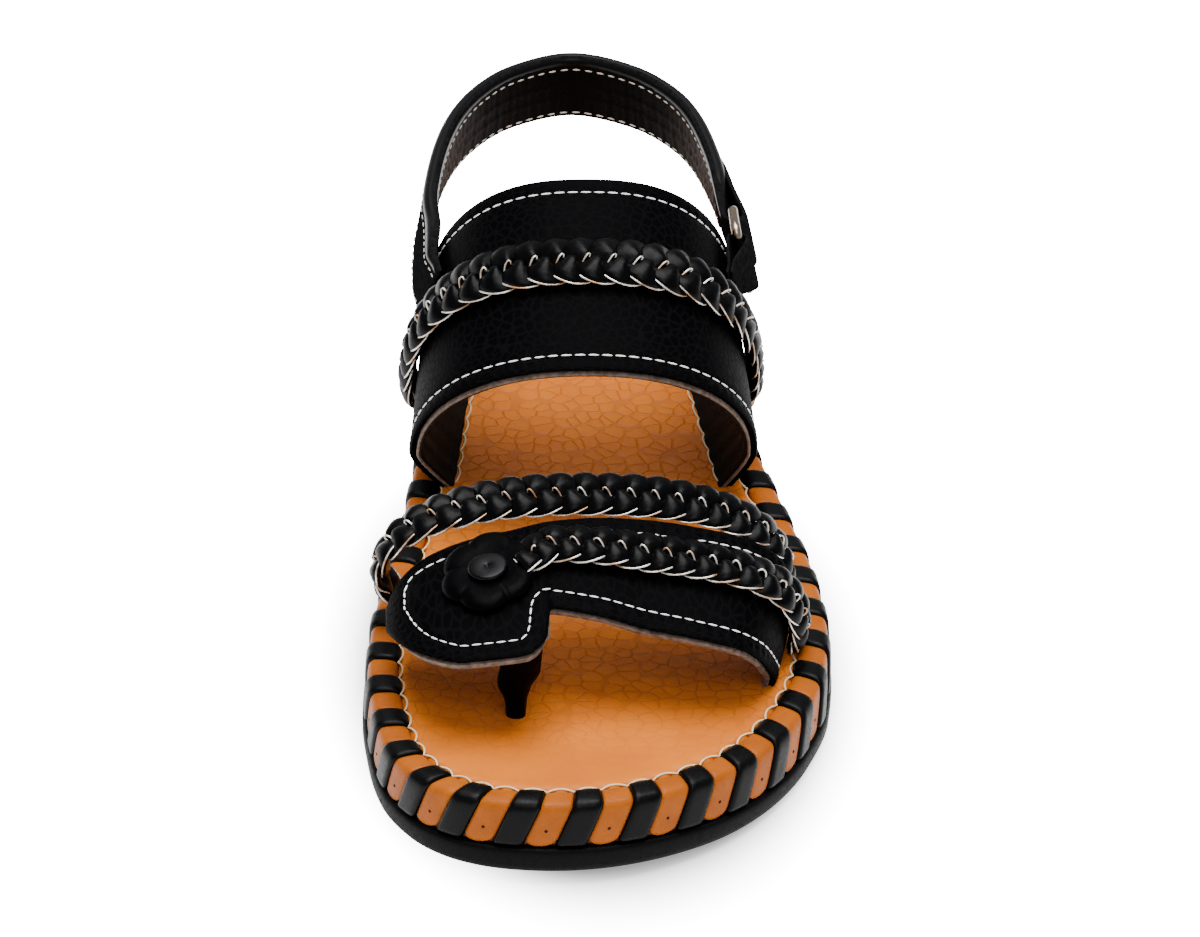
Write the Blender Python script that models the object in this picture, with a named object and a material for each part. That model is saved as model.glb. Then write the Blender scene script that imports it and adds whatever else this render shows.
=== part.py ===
"""Left sandal with a strip-wrapped sole, braided straps, a toe post and a heel strap.

Units are metres and +Z is up. The origin is on the floor, under the middle of the sole's box.
The toe points along -Y, the big toe's side is -X and the little toe's side is +X.
"""

import math
from collections import namedtuple

import bmesh
import bpy
import numpy as np

MM = 0.001

# Driving sizes of the sole
SOLE_LENGTH = 285 * MM
OUTSOLE_THICKNESS = 6.5 * MM
RIM_HEIGHT = 11.6 * MM
RIM_WIDTH = 7.7 * MM
INSOLE_THICKNESS = 2.6 * MM
TOE_SPRING = 3.0 * MM
TREAD_SPRING = 2.4 * MM
TOE_SPRING_RUN = 40 * MM
HEEL_LIFT = 4.0 * MM
HEEL_LIFT_FROM = -30 * MM
HEEL_LIFT_TO = 75 * MM
ARCH_RELIEF = 1.8 * MM
ARCH_FROM = -35 * MM
ARCH_TO = 70 * MM
STRIP_PAIRS = 46
STRIP_STEP = 0.6 * MM
STRIP_SLANT = 0.35
STRIP_EDGES = (0.02, 0.48, 0.52, 0.98)
GAP = 0.3 * MM

# Driving sizes of the straps
BAND_WALL = 3.2 * MM
TOE_STRAP_WALL = 3.0 * MM
HEEL_STRAP_WALL = 3.6 * MM
LOOP_WALL = 1.5 * MM
BRAID_THICKNESS = 4.4 * MM
SLOT_DEPTH = 2.2 * MM
FOOT_RUN = 12 * MM
RING_WIRE = 1.25 * MM

# Outline of the sole, from the toe tip to the heel: distance from the tip, big-toe side, little-toe side
OutlineRow = namedtuple("OutlineRow", "along inner outer")
OUTLINE = (
    OutlineRow(0, -12.5, -12.5),
    OutlineRow(2.2, -27.8, 2.6),
    OutlineRow(7.3, -37.6, 15.0),
    OutlineRow(17, -46.2, 29.0),
    OutlineRow(30, -51.8, 40.2),
    OutlineRow(44, -54.2, 47.8),
    OutlineRow(62, -55.5, 53.6),
    OutlineRow(82, -54.6, 55.5),
    OutlineRow(105, -51.2, 54.0),
    OutlineRow(132, -46.8, 49.2),
    OutlineRow(165, -42.6, 42.4),
    OutlineRow(200, -39.8, 37.8),
    OutlineRow(240, -39.4, 37.0),
    OutlineRow(268, -31.8, 29.4),
    OutlineRow(280, -19.6, 17.2),
    OutlineRow(285, -1.2, -1.2),
)

# Arches of the straps. Each row is one edge: where it stands at the widest height, and its leaning section
ArchRow = namedtuple("ArchRow", "y centre half_width tuck_inner tuck_outer widest top lean square")
BAND_FRONT = ArchRow(-6.3, -2.0, 42.4, 10.0, 7.0, 32, 65.8, 0.5, 2.2)
BAND_BACK = ArchRow(58.1, -1.2, 38.6, 12.6, 12.4, 36, 88.0, 0.5, 2.5)
BALL_BRAID_FRONT = ArchRow(-63.6, -4.0, 50.4, 11.2, 2.6, 31, 51.8, 0.0, 2.24)
BALL_BRAID_BACK = ArchRow(-52.4, -3.6, 49.6, 11.2, 2.6, 31, 56.0, 0.0, 2.24)

# Toe strap, from its foot on the little-toe side to its rounded end over the big toe
ToeStrapRow = namedtuple("ToeStrapRow", "x_front y_front z_front x_back y_back z_back")
TOE_STRAP = (
    ToeStrapRow(39.8, -88.4, 16.8, 42.0, -67.5, 16.8),
    ToeStrapRow(40.6, -89.4, 20.4, 45.2, -66.8, 22.0),
    ToeStrapRow(39.2, -92.4, 24.6, 46.0, -66.4, 29.0),
    ToeStrapRow(36.4, -96.6, 30.6, 43.6, -66.0, 38.1),
    ToeStrapRow(29.6, -99.9, 36.7, 36.0, -65.8, 44.4),
    ToeStrapRow(20.0, -98.8, 38.6, 23.6, -65.6, 48.0),
    ToeStrapRow(10.2, -97.2, 39.7, 10.8, -65.6, 50.2),
    ToeStrapRow(-1.0, -95.4, 42.4, -1.0, -65.8, 51.0),
    ToeStrapRow(-11.8, -93.8, 43.6, -12.2, -66.2, 50.3),
    ToeStrapRow(-13.4, -103.6, 42.2, -15.4, -66.4, 49.7),
    ToeStrapRow(-18.6, -109.4, 41.0, -20.6, -66.8, 48.4),
    ToeStrapRow(-32.0, -110.2, 39.7, -32.4, -67.6, 45.6),
    ToeStrapRow(-42.6, -104.2, 37.7, -42.6, -69.4, 41.3),
    ToeStrapRow(-48.3, -94.8, 34.9, -48.3, -72.4, 36.2),
    ToeStrapRow(-50.8, -86.2, 32.0, -50.8, -78.0, 32.5),
)
TOE_STRAP_FREE_FROM = 5

# Heel strap, from the band's big-toe side round the heel to the ring: middle of its wall, and its two edges
HeelRow = namedtuple("HeelRow", "x y low high flare slant")
HEEL_STRAP = (
    HeelRow(-39.8, 52.0, 49.0, 66.3, 4.2, 3.0),
    HeelRow(-39.9, 61.0, 49.8, 67.2, 3.0, 0.0),
    HeelRow(-38.9, 72.0, 50.8, 68.2, 2.6, 0.0),
    HeelRow(-36.1, 88.0, 52.4, 69.8, 2.4, 0.0),
    HeelRow(-30.2, 105.0, 53.7, 71.2, 1.8, 0.0),
    HeelRow(-17.4, 121.8, 54.4, 71.9, 0.8, 0.0),
    HeelRow(-1.3, 129.0, 54.5, 72.0, 0.0, 0.0),
    HeelRow(14.8, 121.8, 54.4, 71.9, 0.8, 0.0),
    HeelRow(27.6, 105.0, 53.7, 71.2, 1.8, 0.0),
    HeelRow(32.6, 88.0, 52.4, 69.8, 2.4, 0.0),
    HeelRow(35.0, 72.0, 50.8, 68.2, 3.0, 0.0),
)
HEEL_STRAP_SEWN = (0.70, 0.78, 0.87)
RING_REAR = HeelRow(39.2, 53.5, 49.0, 66.2, 4.6, 0.0)
RING_FRONT = HeelRow(39.6, 41.5, 49.0, 66.2, 4.6, 0.0)
TAB_SEWN = (0.70, 0.74, 0.78)
TAB_WALL = 1.2 * MM
RING_MARGIN = 2.6 * MM
RING_CORNER = 2.5 * MM
FOLD_SLACK = 0.7 * MM
# Stand-off in millimetres at the lower and upper edge, so a flat strip clears the band's bulging side
STRAP_BULGE = (1.2, 1.2)
TAB_BULGE = (0.2, 2.2)
# The strap's folded end, from the ring back along the strap's outer face
FOLDED_END = (
    HeelRow(41.2, 59.5, 49.6, 66.8, 4.1, 0.0),
    HeelRow(39.7, 66.0, 50.2, 67.6, 3.5, 0.0),
    HeelRow(38.0, 73.0, 50.9, 68.3, 3.0, 0.0),
    HeelRow(36.9, 80.0, 51.6, 69.0, 2.7, 0.0),
    HeelRow(36.1, 86.0, 52.2, 69.6, 2.4, 0.0),
)

# Toe post, from the insole up to the toe strap's inner corner
PostRow = namedtuple("PostRow", "x y z across deep")
TOE_POST = (
    PostRow(-20.3, -96.4, 16.6, 4.6, 6.0),
    PostRow(-20.4, -97.6, 21.0, 5.2, 6.0),
    PostRow(-20.8, -99.3, 26.0, 7.8, 5.6),
    PostRow(-19.7, -101.1, 31.0, 9.5, 4.8),
    PostRow(-19.4, -102.9, 36.2, 9.0, 4.2),
)

# Rosette and rivet over the end of the toe braid
ROSETTE_X, ROSETTE_Y = -27.7 * MM, -85.2 * MM
ROSETTE_RADIUS = 10.4 * MM
ROSETTE_LOBES = 6
ROSETTE_THICKNESS = 2.2 * MM
RIVET_RADIUS = 4.7 * MM
RIVET_HEIGHT = 1.8 * MM

# Places of the braids on the straps: share of the strap's width, share of its length
BAND_BRAID_AT = 0.53
TOE_BRAID_AT = 0.6
TOE_BRAID_FOOT_AT, TOE_BRAID_TURN = 0.86, 0.30
TOE_BRAID_ENDS = (0.035, 0.64)
BAND_BRAID_ENDS = (0.05, 0.95)
BAND_BRAID_WIDTH, BAND_BRAID_PITCH = 13 * MM, 5.8 * MM
BALL_BRAID_WIDTH, BALL_BRAID_PITCH = 11.5 * MM, 5.9 * MM
TOE_BRAID_WIDTH, TOE_BRAID_PITCH = 10.5 * MM, 5.4 * MM

# Colours: base colour, roughness, metallic
Finish = namedtuple("Finish", "colour roughness metallic")
BLACK_LEATHER = Finish((0.012, 0.012, 0.014), 0.5, 0.0)
TAN_LEATHER = Finish((0.55, 0.22, 0.06), 0.5, 0.0)
BLACK_RUBBER = Finish((0.015, 0.015, 0.016), 0.55, 0.0)
NICKEL = Finish((0.62, 0.56, 0.48), 0.25, 1.0)
GUNMETAL = Finish((0.09, 0.09, 0.095), 0.3, 1.0)


def clear_scene():
    for old in list(bpy.data.objects):
        bpy.data.objects.remove(old, do_unlink=True)


def material_of(name, finish):
    made = bpy.data.materials.get(name) or bpy.data.materials.new(name)
    made.use_nodes = True
    shader = made.node_tree.nodes["Principled BSDF"]
    shader.inputs["Base Color"].default_value = (*finish.colour, 1.0)
    shader.inputs["Roughness"].default_value = finish.roughness
    shader.inputs["Metallic"].default_value = finish.metallic
    return made


def smooth_through(keys, values, at):
    """Monotone cubic curve through one column of a table, read at the places asked for."""
    keys, values, at = (np.asarray(x, float) for x in (keys, values, at))
    step = np.diff(keys)
    slope = np.diff(values) / step
    same_way = slope[:-1] * slope[1:] > 0
    joined = np.where(same_way, slope[:-1] + slope[1:], 1.0)
    inside = np.where(same_way, 2 * slope[:-1] * slope[1:] / joined, 0.0)
    tangent = np.concatenate([slope[:1], inside, slope[-1:]])
    i = np.clip(np.searchsorted(keys, at, side="right") - 1, 0, len(step) - 1)
    t = (at - keys[i]) / step[i]
    start = (1 + 2 * t) * (1 - t) ** 2 * values[i] + t * (1 - t) ** 2 * step[i] * tangent[i]
    end = t * t * (3 - 2 * t) * values[i + 1] + t * t * (t - 1) * step[i] * tangent[i + 1]
    return start + end


def smooth_step(t):
    t = np.clip(t, 0.0, 1.0)
    return t * t * (3 - 2 * t)


def unit(vectors):
    return vectors / np.linalg.norm(vectors, axis=-1, keepdims=True)


def evenly_along(points, count):
    """The same line through a given count of evenly spaced points."""
    run = np.concatenate([[0], np.cumsum(np.linalg.norm(np.diff(points, axis=0), axis=1))])
    at = np.linspace(0, run[-1], count)
    return np.stack([np.interp(at, run, points[:, k]) for k in range(points.shape[1])], axis=1)


def new_part(name, finish, grids, faces, smooth=True):
    """One named object from point grids and faces that index them in order, with its normals set outward."""
    mesh = bpy.data.meshes.new(name)
    made = bmesh.new()
    verts = [made.verts.new(p) for p in np.concatenate([np.reshape(g, (-1, 3)) for g in grids])]
    for face in faces:
        made.faces.new([verts[i] for i in face])
    bmesh.ops.recalc_face_normals(made, faces=made.faces)
    made.to_mesh(mesh)
    made.free()
    if smooth:
        mesh.shade_smooth()
        mesh.set_sharp_from_angle(angle=math.radians(40))
    part = bpy.data.objects.new(name, mesh)
    part.data.materials.append(material_of(name, finish))
    bpy.context.scene.collection.objects.link(part)
    return part


def tube_faces(sections, around, closed=False):
    """Faces of a tube of equal sections. An open tube gets a cap on each end."""
    faces = []
    for i in range(sections if closed else sections - 1):
        here, there = i * around, (i + 1) % sections * around
        for k in range(around):
            after = (k + 1) % around
            faces.append((here + k, here + after, there + after, there + k))
    if not closed:
        faces.append(tuple(range(around)))
        faces.append(tuple((sections - 1) * around + k for k in range(around)))
    return faces


# The sole: rocker line, outline and slabs


def rocker(y):
    """How far the foot's bed is lifted at y by the toe spring and the heel."""
    toe = TOE_SPRING * np.clip((-SOLE_LENGTH / 2 + TOE_SPRING_RUN - y) / TOE_SPRING_RUN, 0, 1) ** 2
    heel = HEEL_LIFT * smooth_step((y - HEEL_LIFT_FROM) / (HEEL_LIFT_TO - HEEL_LIFT_FROM))
    return toe + heel


def tread(y):
    """Height of the outsole's underside: raised under the toe tip and the arch, flat elsewhere."""
    toe = TREAD_SPRING * np.clip((-SOLE_LENGTH / 2 + TOE_SPRING_RUN - y) / TOE_SPRING_RUN, 0, 1) ** 2
    share = np.clip((y - ARCH_FROM) / (ARCH_TO - ARCH_FROM), 0, 1)
    return toe + ARCH_RELIEF * np.sin(math.pi * share) ** 2


def bed(y):
    """Top of the outsole, on which the wrapped midsole stands."""
    return OUTSOLE_THICKNESS + rocker(y)


def even_places(count):
    return np.arange(count) / count


def outline_loop(places):
    """Points round the sole at shares of its girth from the toe tip by the little toe, and inward normals."""
    fine = np.linspace(0, math.pi, 400)
    y = -SOLE_LENGTH / 2 * np.cos(fine)
    turns = [math.acos(1 - 2 * row.along * MM / SOLE_LENGTH) for row in OUTLINE]
    inner = smooth_through(turns, [row.inner * MM for row in OUTLINE], fine)
    outer = smooth_through(turns, [row.outer * MM for row in OUTLINE], fine)
    there = np.stack([outer, y], axis=1)
    back = np.stack([inner, y], axis=1)[::-1]
    line = evenly_along(np.concatenate([there, back[1:]]), 1201)
    shares = np.linspace(0, 1, len(line))
    step = 0.004

    def at(place):
        return np.stack([np.interp(place % 1.0, shares, line[:, k]) for k in (0, 1)], axis=1)

    tangent = unit(at(places + step) - at(places - step))
    return at(places), np.stack([-tangent[:, 1], tangent[:, 0]], axis=1)


def ring_at(loop, normals, inset, height):
    """A ring inside the outline by inset, at a height that may follow y."""
    flat = loop + normals * np.reshape(inset, (-1, 1))
    return np.column_stack([flat, height(flat[:, 1])])


def slab(name, finish, rings, smooth=True):
    """Closed slab through stacked rings, with its bottom and top closed by strips across the foot."""
    count = len(rings[0])
    faces = tube_faces(len(rings), count)[:-2]
    for first in (0, (len(rings) - 1) * count):
        for i in range(count // 2):
            four = (i, i + 1, count - i - 1, (count - i) % count)
            faces.append(tuple(dict.fromkeys(first + k for k in four)))
    return new_part(name, finish, rings, faces, smooth)


def make_outsole():
    loop, normals = outline_loop(even_places(72))
    edge = 1.6 * MM
    bulge = -0.3 * MM
    rings = (
        ring_at(loop, normals, 3.2 * MM, tread),
        ring_at(loop, normals, 0.8 * MM, lambda y: tread(y) + 0.8 * MM),
        ring_at(loop, normals, bulge, lambda y: tread(y) + edge + 0.8 * MM),
        ring_at(loop, normals, bulge, lambda y: bed(y) - edge),
        ring_at(loop, normals, 0.5 * MM, bed),
    )
    return slab("outsole", BLACK_RUBBER, rings)


def strip_profile():
    """Section of a wrapped strip: inset from the outline, height above the bed, share of the step it gets."""
    return (
        (3.0 * MM, GAP, 0.0),
        (0.9 * MM, GAP, 1.0),
        (0.9 * MM, RIM_HEIGHT * 0.55, 1.0),
        (1.5 * MM, RIM_HEIGHT * 0.84, 1.0),
        (3.6 * MM, RIM_HEIGHT, 1.0),
        (RIM_WIDTH - 0.6 * MM, RIM_HEIGHT - 0.2 * MM, 1.0),
        (RIM_WIDTH, RIM_HEIGHT - INSOLE_THICKNESS - GAP, 0.0),
    )


def make_wrapped_midsole():
    """Midsole with its edge wrapped in strips laid aslant, every second one a raised step."""
    pairs = even_places(STRIP_PAIRS)[:, None]
    places = (pairs + np.array(STRIP_EDGES) / STRIP_PAIRS).ravel()
    raised = np.tile([0.0, 0.0, 1.0, 1.0], STRIP_PAIRS)
    girth = 2.4 * SOLE_LENGTH
    profile = strip_profile()
    run = [0.0]
    for (inset, height, _), (next_inset, next_height, _) in zip(profile, profile[1:]):
        run.append(run[-1] + math.dist((inset, height), (next_inset, next_height)))
    rings = []
    for (inset, height, share), done in zip(profile, run):
        on_top = height > RIM_HEIGHT * 0.9
        step = STRIP_STEP * share * raised
        loop, normals = outline_loop(places + STRIP_SLANT * done / girth)
        ring = ring_at(loop, normals, inset - (0 if on_top else step), lambda y, h=height: bed(y) + h)
        ring[:, 2] += step if on_top else 0
        rings.append(ring)
    return slab("wrapped_midsole", TAN_LEATHER, rings)


def make_insole():
    """Leather insole with a puffed edge. Slots are cut in it for the straps and the toe post."""
    loop, normals = outline_loop(even_places(64))
    low = RIM_HEIGHT - INSOLE_THICKNESS

    def level(rise):
        return lambda y: bed(y) + low + rise

    rings = (
        ring_at(loop, normals, RIM_WIDTH + GAP, level(0)),
        ring_at(loop, normals, RIM_WIDTH + GAP, level(INSOLE_THICKNESS - 1.0 * MM)),
        ring_at(loop, normals, RIM_WIDTH + 2.2 * MM, level(INSOLE_THICKNESS + 0.2 * MM)),
        ring_at(loop, normals, RIM_WIDTH + 6.0 * MM, level(INSOLE_THICKNESS)),
    )
    return slab("insole", TAN_LEATHER, rings, smooth=False)


def slot_floor(y):
    """Height at which the straps' feet end inside the insole's slots."""
    return bed(y) + RIM_HEIGHT - SLOT_DEPTH


def cut_slots(part, cutters):
    for cutter in cutters:
        cutter.hide_render = True
        cutter.display_type = "WIRE"
        cut = part.modifiers.new("slot_" + cutter.name, "BOOLEAN")
        cut.operation = "DIFFERENCE"
        cut.solver = "EXACT"
        cut.object = cutter


# The straps: walls over a surface that is read at (share of length, share of width)


def arch_points(front, back, share, width_share):
    """Points of an arched strap from the little-toe foot over the top, between its front and back edges."""
    row = [a + (b - a) * width_share for a, b in zip(front, back)]
    at = ArchRow(*row)
    foot_share = 0.14
    climb = np.minimum(share / foot_share, 1)
    fall = np.minimum((1 - share) / foot_share, 1)
    angle = math.pi * np.clip((share - foot_share) / (1 - 2 * foot_share), 0, 1)
    across = np.sign(np.cos(angle)) * np.abs(np.cos(angle)) ** (2 / at.square) * at.half_width
    height = at.widest + (at.top - at.widest) * np.abs(np.sin(angle)) ** (2 / at.square)
    ground = slot_floor(at.y * MM) / MM
    tuck = np.where(share < 0.5, 1 - climb, 1 - fall)
    across = across - np.where(across > 0, at.tuck_outer, -at.tuck_inner) * np.abs(tuck) ** 1.5
    height = height - (at.widest - ground) * tuck
    y = at.y - at.lean * (height - at.widest)
    return np.stack([at.centre + across, y, height], axis=-1) * MM


def band_surface(share, width_share):
    return arch_points(BAND_FRONT, BAND_BACK, share, width_share)


def ball_braid_surface(share, width_share):
    return arch_points(BALL_BRAID_FRONT, BALL_BRAID_BACK, share, width_share)


def toe_strap_surface(share, width_share):
    """Toe strap: edges run through its table, and the middle of its width is crowned a little."""
    keys = np.linspace(0, 1, len(TOE_STRAP))
    front = [smooth_through(keys, [row[k] for row in TOE_STRAP], share) for k in (0, 1, 2)]
    back = [smooth_through(keys, [row[k] for row in TOE_STRAP], share) for k in (3, 4, 5)]
    front, back = (np.stack(edge, axis=-1) * MM for edge in (front, back))
    width_share = np.broadcast_to(width_share, np.shape(share))
    crown = 0.8 * MM * 4 * width_share * (1 - width_share)
    point = front + (back - front) * width_share[..., None]
    point[..., 2] += crown * smooth_step((point[..., 2] - 24 * MM) / (12 * MM))
    return point


def toe_strap_top(x, y):
    """Height of the toe strap's outer face above a place near the big toe, where x falls along the strap."""
    shares = np.linspace(TOE_STRAP_FREE_FROM / (len(TOE_STRAP) - 1), 1, 160)
    front, back = toe_strap_surface(shares, 0.0), toe_strap_surface(shares, 1.0)
    share = np.interp(-x, -front[:, 0], shares)
    first, last = toe_strap_surface(share, 0.0), toe_strap_surface(share, 1.0)
    width_share = np.clip((y - first[..., 1]) / (last[..., 1] - first[..., 1]), 0, 1)
    height = first[..., 2] + (last - first)[..., 2] * width_share
    return height + 0.8 * MM * 4 * width_share * (1 - width_share)


def surface_frame(surface, share, width_share):
    """Points on a strap's outer face, the way across it and the way out of it."""
    nudge = 1e-3
    here = surface(share, width_share)
    along = surface(share + nudge, width_share) - surface(share - nudge, width_share)
    further, nearer = np.minimum(width_share + nudge, 1), np.maximum(width_share - nudge, 0)
    across = unit(surface(share, further) - surface(share, nearer))
    out = unit(np.cross(along, -across))
    out[..., 2] *= smooth_step((here[..., 2] - slot_floor(here[..., 1])) / FOOT_RUN)
    return here, across, unit(out)


def strap_shares(surface, count, ends, width_share):
    """Shares of a strap's length at even distances along a line of it, and the line's length."""
    fine = np.linspace(*ends, 400)
    line = surface(fine, width_share(fine))
    run = np.concatenate([[0], np.cumsum(np.linalg.norm(np.diff(line, axis=0), axis=1))])
    return np.interp(np.linspace(0, run[-1], count), run, fine), run[-1]


def held_at(width_share):
    """A line along a strap at one share of its width."""
    return lambda share: np.full(np.shape(share), width_share)


def toe_braid_at(share):
    """The toe braid's line: it swings to the strap's rear edge as it goes down to the outer foot."""
    turn = smooth_step(share / TOE_BRAID_TURN)
    return TOE_BRAID_FOOT_AT + (TOE_BRAID_AT - TOE_BRAID_FOOT_AT) * turn


def strap_wall(name, finish, surface, shares, widths, wall, grow=0.0):
    """A strap of even wall below an outer surface. Grown on every side, it is the cutter for its slots."""
    outer, inner = [], []
    for width_share in widths:
        point, across, out = surface_frame(surface, shares, width_share)
        side = {0: -1.0, len(widths) - 1: 1.0}.get(widths.index(width_share), 0.0)
        point = point + across * grow * side
        outer.append(point + out * grow)
        inner.append(point - out * (wall + grow))
    rows = outer + inner[::-1]
    grid = np.stack(rows, axis=1)
    return new_part(name, finish, [grid], tube_faces(len(shares), len(rows)))


def braid(name, finish, surface, ends, width_share, width, pitch, raise_by):
    """Flat braid lying along a surface: two rows of lobes, half a pitch apart, with a groove between them."""
    per_lobe = 4
    _, length = strap_shares(surface, 2, ends, width_share)
    lobes = round(length / pitch)
    shares, _ = strap_shares(surface, lobes * per_lobe + 1, ends, width_share)
    point, across, out = surface_frame(surface, shares, width_share(shares))
    phase = math.pi * np.arange(len(shares)) / per_lobe
    front, back = np.abs(np.sin(phase)) ** 0.7, np.abs(np.cos(phase)) ** 0.7
    thick = BRAID_THICKNESS
    section = (
        (-0.40 * width + 0 * front, 0 * front),
        (-width * (0.44 + 0.06 * front), 0.45 * thick + 0 * front),
        (-0.27 * width + 0 * front, thick * (0.74 + 0.26 * front)),
        (0.05 * width * (front - back), 0.66 * thick + 0 * front),
        (0.27 * width + 0 * back, thick * (0.74 + 0.26 * back)),
        (width * (0.44 + 0.06 * back), 0.45 * thick + 0 * back),
        (0.40 * width + 0 * back, 0 * back),
    )
    rows = [
        point + across * side[:, None] + out * (height + raise_by)[:, None] for side, height in section
    ]
    return new_part(name, finish, [np.stack(rows, axis=1)], tube_faces(len(shares), len(rows)))


# The heel strap, the ring and its tab: upright leather strips along a path


def sewn_row(side, share, low, high, stand_off, bulge):
    """A row of a strip that lies on one side of the band, stand_off millimetres out from its outer face."""
    at = ArchRow(*[a + (b - a) * share for a, b in zip(BAND_FRONT, BAND_BACK)])
    rise = (np.array([low, high]) - at.widest) / (at.top - at.widest)
    reach = at.half_width * (1 - rise**at.square) ** (1 / at.square)
    x_low, x_high = at.centre + side * (reach + stand_off + np.array(bulge))
    y_low, y_high = (at.y - at.lean * (z - at.widest) for z in (low, high))
    flare, slant = side * (x_low - x_high), y_low - y_high
    return HeelRow((x_low + x_high) / 2, (y_low + y_high) / 2, low, high, flare, slant)


def fold_round(bar, start, turn, wall):
    """Rows that take a strip round a ring's bar, from one side of it to the other."""
    radius = (RING_WIRE + FOLD_SLACK + wall / 2) / MM
    angles = np.linspace(0, math.pi, 9)
    return [
        bar._replace(x=bar.x + radius * math.cos(a) * start, y=bar.y + radius * math.sin(a) * turn)
        for a in angles
    ]


def upright_strip(name, finish, rows, walls, spacing=6 * MM):
    """A strip standing on edge along a path of rows, with a wall that may change along it."""
    keys = np.concatenate([[0], np.cumsum([math.dist(a[:2], b[:2]) for a, b in zip(rows, rows[1:])])])
    count = max(len(rows), int(keys[-1] * MM / spacing))
    at = np.unique(np.concatenate([keys, np.linspace(0, keys[-1], count)]).round(2))
    at = at[np.concatenate([[True], np.diff(at) > 0.5])]
    column = {n: smooth_through(keys, [getattr(r, n) for r in rows], at) * MM for n in HeelRow._fields}
    wall = np.interp(at, keys, walls)
    path = np.stack([column["x"], column["y"]], axis=1)
    tangent = unit(np.gradient(path, at, axis=0))
    out = np.stack([tangent[:, 1], -tangent[:, 0]], axis=1)
    side = np.sign(column["x"])
    corners = []
    for face, edge in ((1, -1), (1, 1), (-1, 1), (-1, -1)):
        flat = path + out * (face * wall / 2)[:, None]
        flat[:, 0] -= edge * side * column["flare"] / 2
        flat[:, 1] -= edge * column["slant"] / 2
        height = column["low"] if edge < 0 else column["high"]
        corners.append(np.column_stack([flat, height]))
    return new_part(name, finish, [np.stack(corners, axis=1)], tube_faces(len(at), len(corners)))


def make_heel_strap():
    stand_off = (HEEL_STRAP_WALL / 2 + GAP) / MM
    low, high = HEEL_STRAP[0].low, HEEL_STRAP[0].high
    sewn = [sewn_row(-1, share, low, high, stand_off, STRAP_BULGE) for share in HEEL_STRAP_SEWN]
    fold = fold_round(RING_REAR, -1, -1, LOOP_WALL)
    rows = [*sewn, *HEEL_STRAP, *fold, *FOLDED_END]
    walls = [HEEL_STRAP_WALL] * (len(sewn) + len(HEEL_STRAP)) + [LOOP_WALL] * (len(fold) + len(FOLDED_END))
    return upright_strip("heel_strap", BLACK_LEATHER, rows, walls)


def make_ring_tab():
    inner_off = (TAB_WALL / 2 + GAP) / MM
    outer_off = (1.5 * TAB_WALL + 2 * GAP) / MM
    low, high = RING_FRONT.low, RING_FRONT.high
    inner = [sewn_row(1, share, low, high, inner_off, TAB_BULGE) for share in TAB_SEWN]
    outer = [sewn_row(1, share, low, high, outer_off, TAB_BULGE) for share in TAB_SEWN[::-1]]
    rows = [*inner, *fold_round(RING_FRONT, -1, 1, TAB_WALL), *outer]
    return upright_strip("ring_tab", BLACK_LEATHER, rows, [TAB_WALL] * len(rows))


def make_ring():
    """Rectangular wire ring with round corners, standing between the tab and the heel strap."""
    corner = RING_CORNER
    rear, front = (np.array([b.x, b.y]) * MM for b in (RING_REAR, RING_FRONT))
    middle = (rear + front) / 2
    along = unit(rear - front)
    half_long = np.linalg.norm(rear - front) / 2
    low, high = RING_FRONT.low * MM - RING_MARGIN, RING_FRONT.high * MM + RING_MARGIN
    half_high = (high - low) / 2
    lean = RING_FRONT.flare / (RING_FRONT.high - RING_FRONT.low)
    path = []
    for quarter in range(4):
        centre_a = (1, -1, -1, 1)[quarter] * (half_long - corner)
        centre_z = (1, 1, -1, -1)[quarter] * (half_high - corner)
        for angle in np.linspace(0, math.pi / 2, 5) + quarter * math.pi / 2:
            path.append((centre_a + corner * math.cos(angle), centre_z + corner * math.sin(angle)))
    path = np.array(path)
    flat = np.outer(path[:, 0], along) + middle
    flat[:, 0] -= path[:, 1] * lean
    line = np.column_stack([flat, path[:, 1] + (high + low) / 2])
    tangent = unit(np.roll(line, -1, axis=0) - np.roll(line, 1, axis=0))
    side = unit(np.cross(tangent, np.roll(line, -1, axis=0) - line.mean(axis=0)))
    up = np.cross(side, tangent)
    turns = np.arange(8) * math.tau / 8
    section = [line + RING_WIRE * (side * math.cos(a) + up * math.sin(a)) for a in turns]
    return new_part("ring", NICKEL, [np.stack(section, axis=1)], tube_faces(len(line), 8, closed=True))


# The toe post, the rosette and the rivet


def make_post(name, grow=0.0, depth=None):
    """Leather post: a flat tab under the toe strap that twists and narrows to the insole's slot."""
    keys = [row.z for row in TOE_POST]
    heights = np.linspace(keys[0], keys[-1], 9)
    if depth is not None:
        heights = np.array([keys[0] - 2, keys[0] + 2, keys[0] + depth])
    at = np.clip(heights, keys[0], keys[-1])
    columns = ("x", "y", "across", "deep")
    x, y, across, deep = (
        smooth_through(keys, [getattr(row, n) for row in TOE_POST], at) * MM for n in columns
    )
    turns = np.arange(12) * math.tau / 12
    sections = []
    for i, z in enumerate(heights):
        ring_x = x[i] + (across[i] / 2 + grow) * np.sign(np.cos(turns)) * np.abs(np.cos(turns)) ** 0.7
        ring_y = y[i] + (deep[i] / 2 + grow) * np.sign(np.sin(turns)) * np.abs(np.sin(turns)) ** 0.7
        sections.append(np.column_stack([ring_x, ring_y, np.full(len(turns), z * MM)]))
    top = toe_strap_top(sections[-1][:, 0], sections[-1][:, 1])
    if depth is None:
        sections[-1][:, 2] = top - TOE_STRAP_WALL - 1.5 * GAP
    return new_part(name, BLACK_LEATHER, sections, tube_faces(len(sections), len(turns)))


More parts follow.
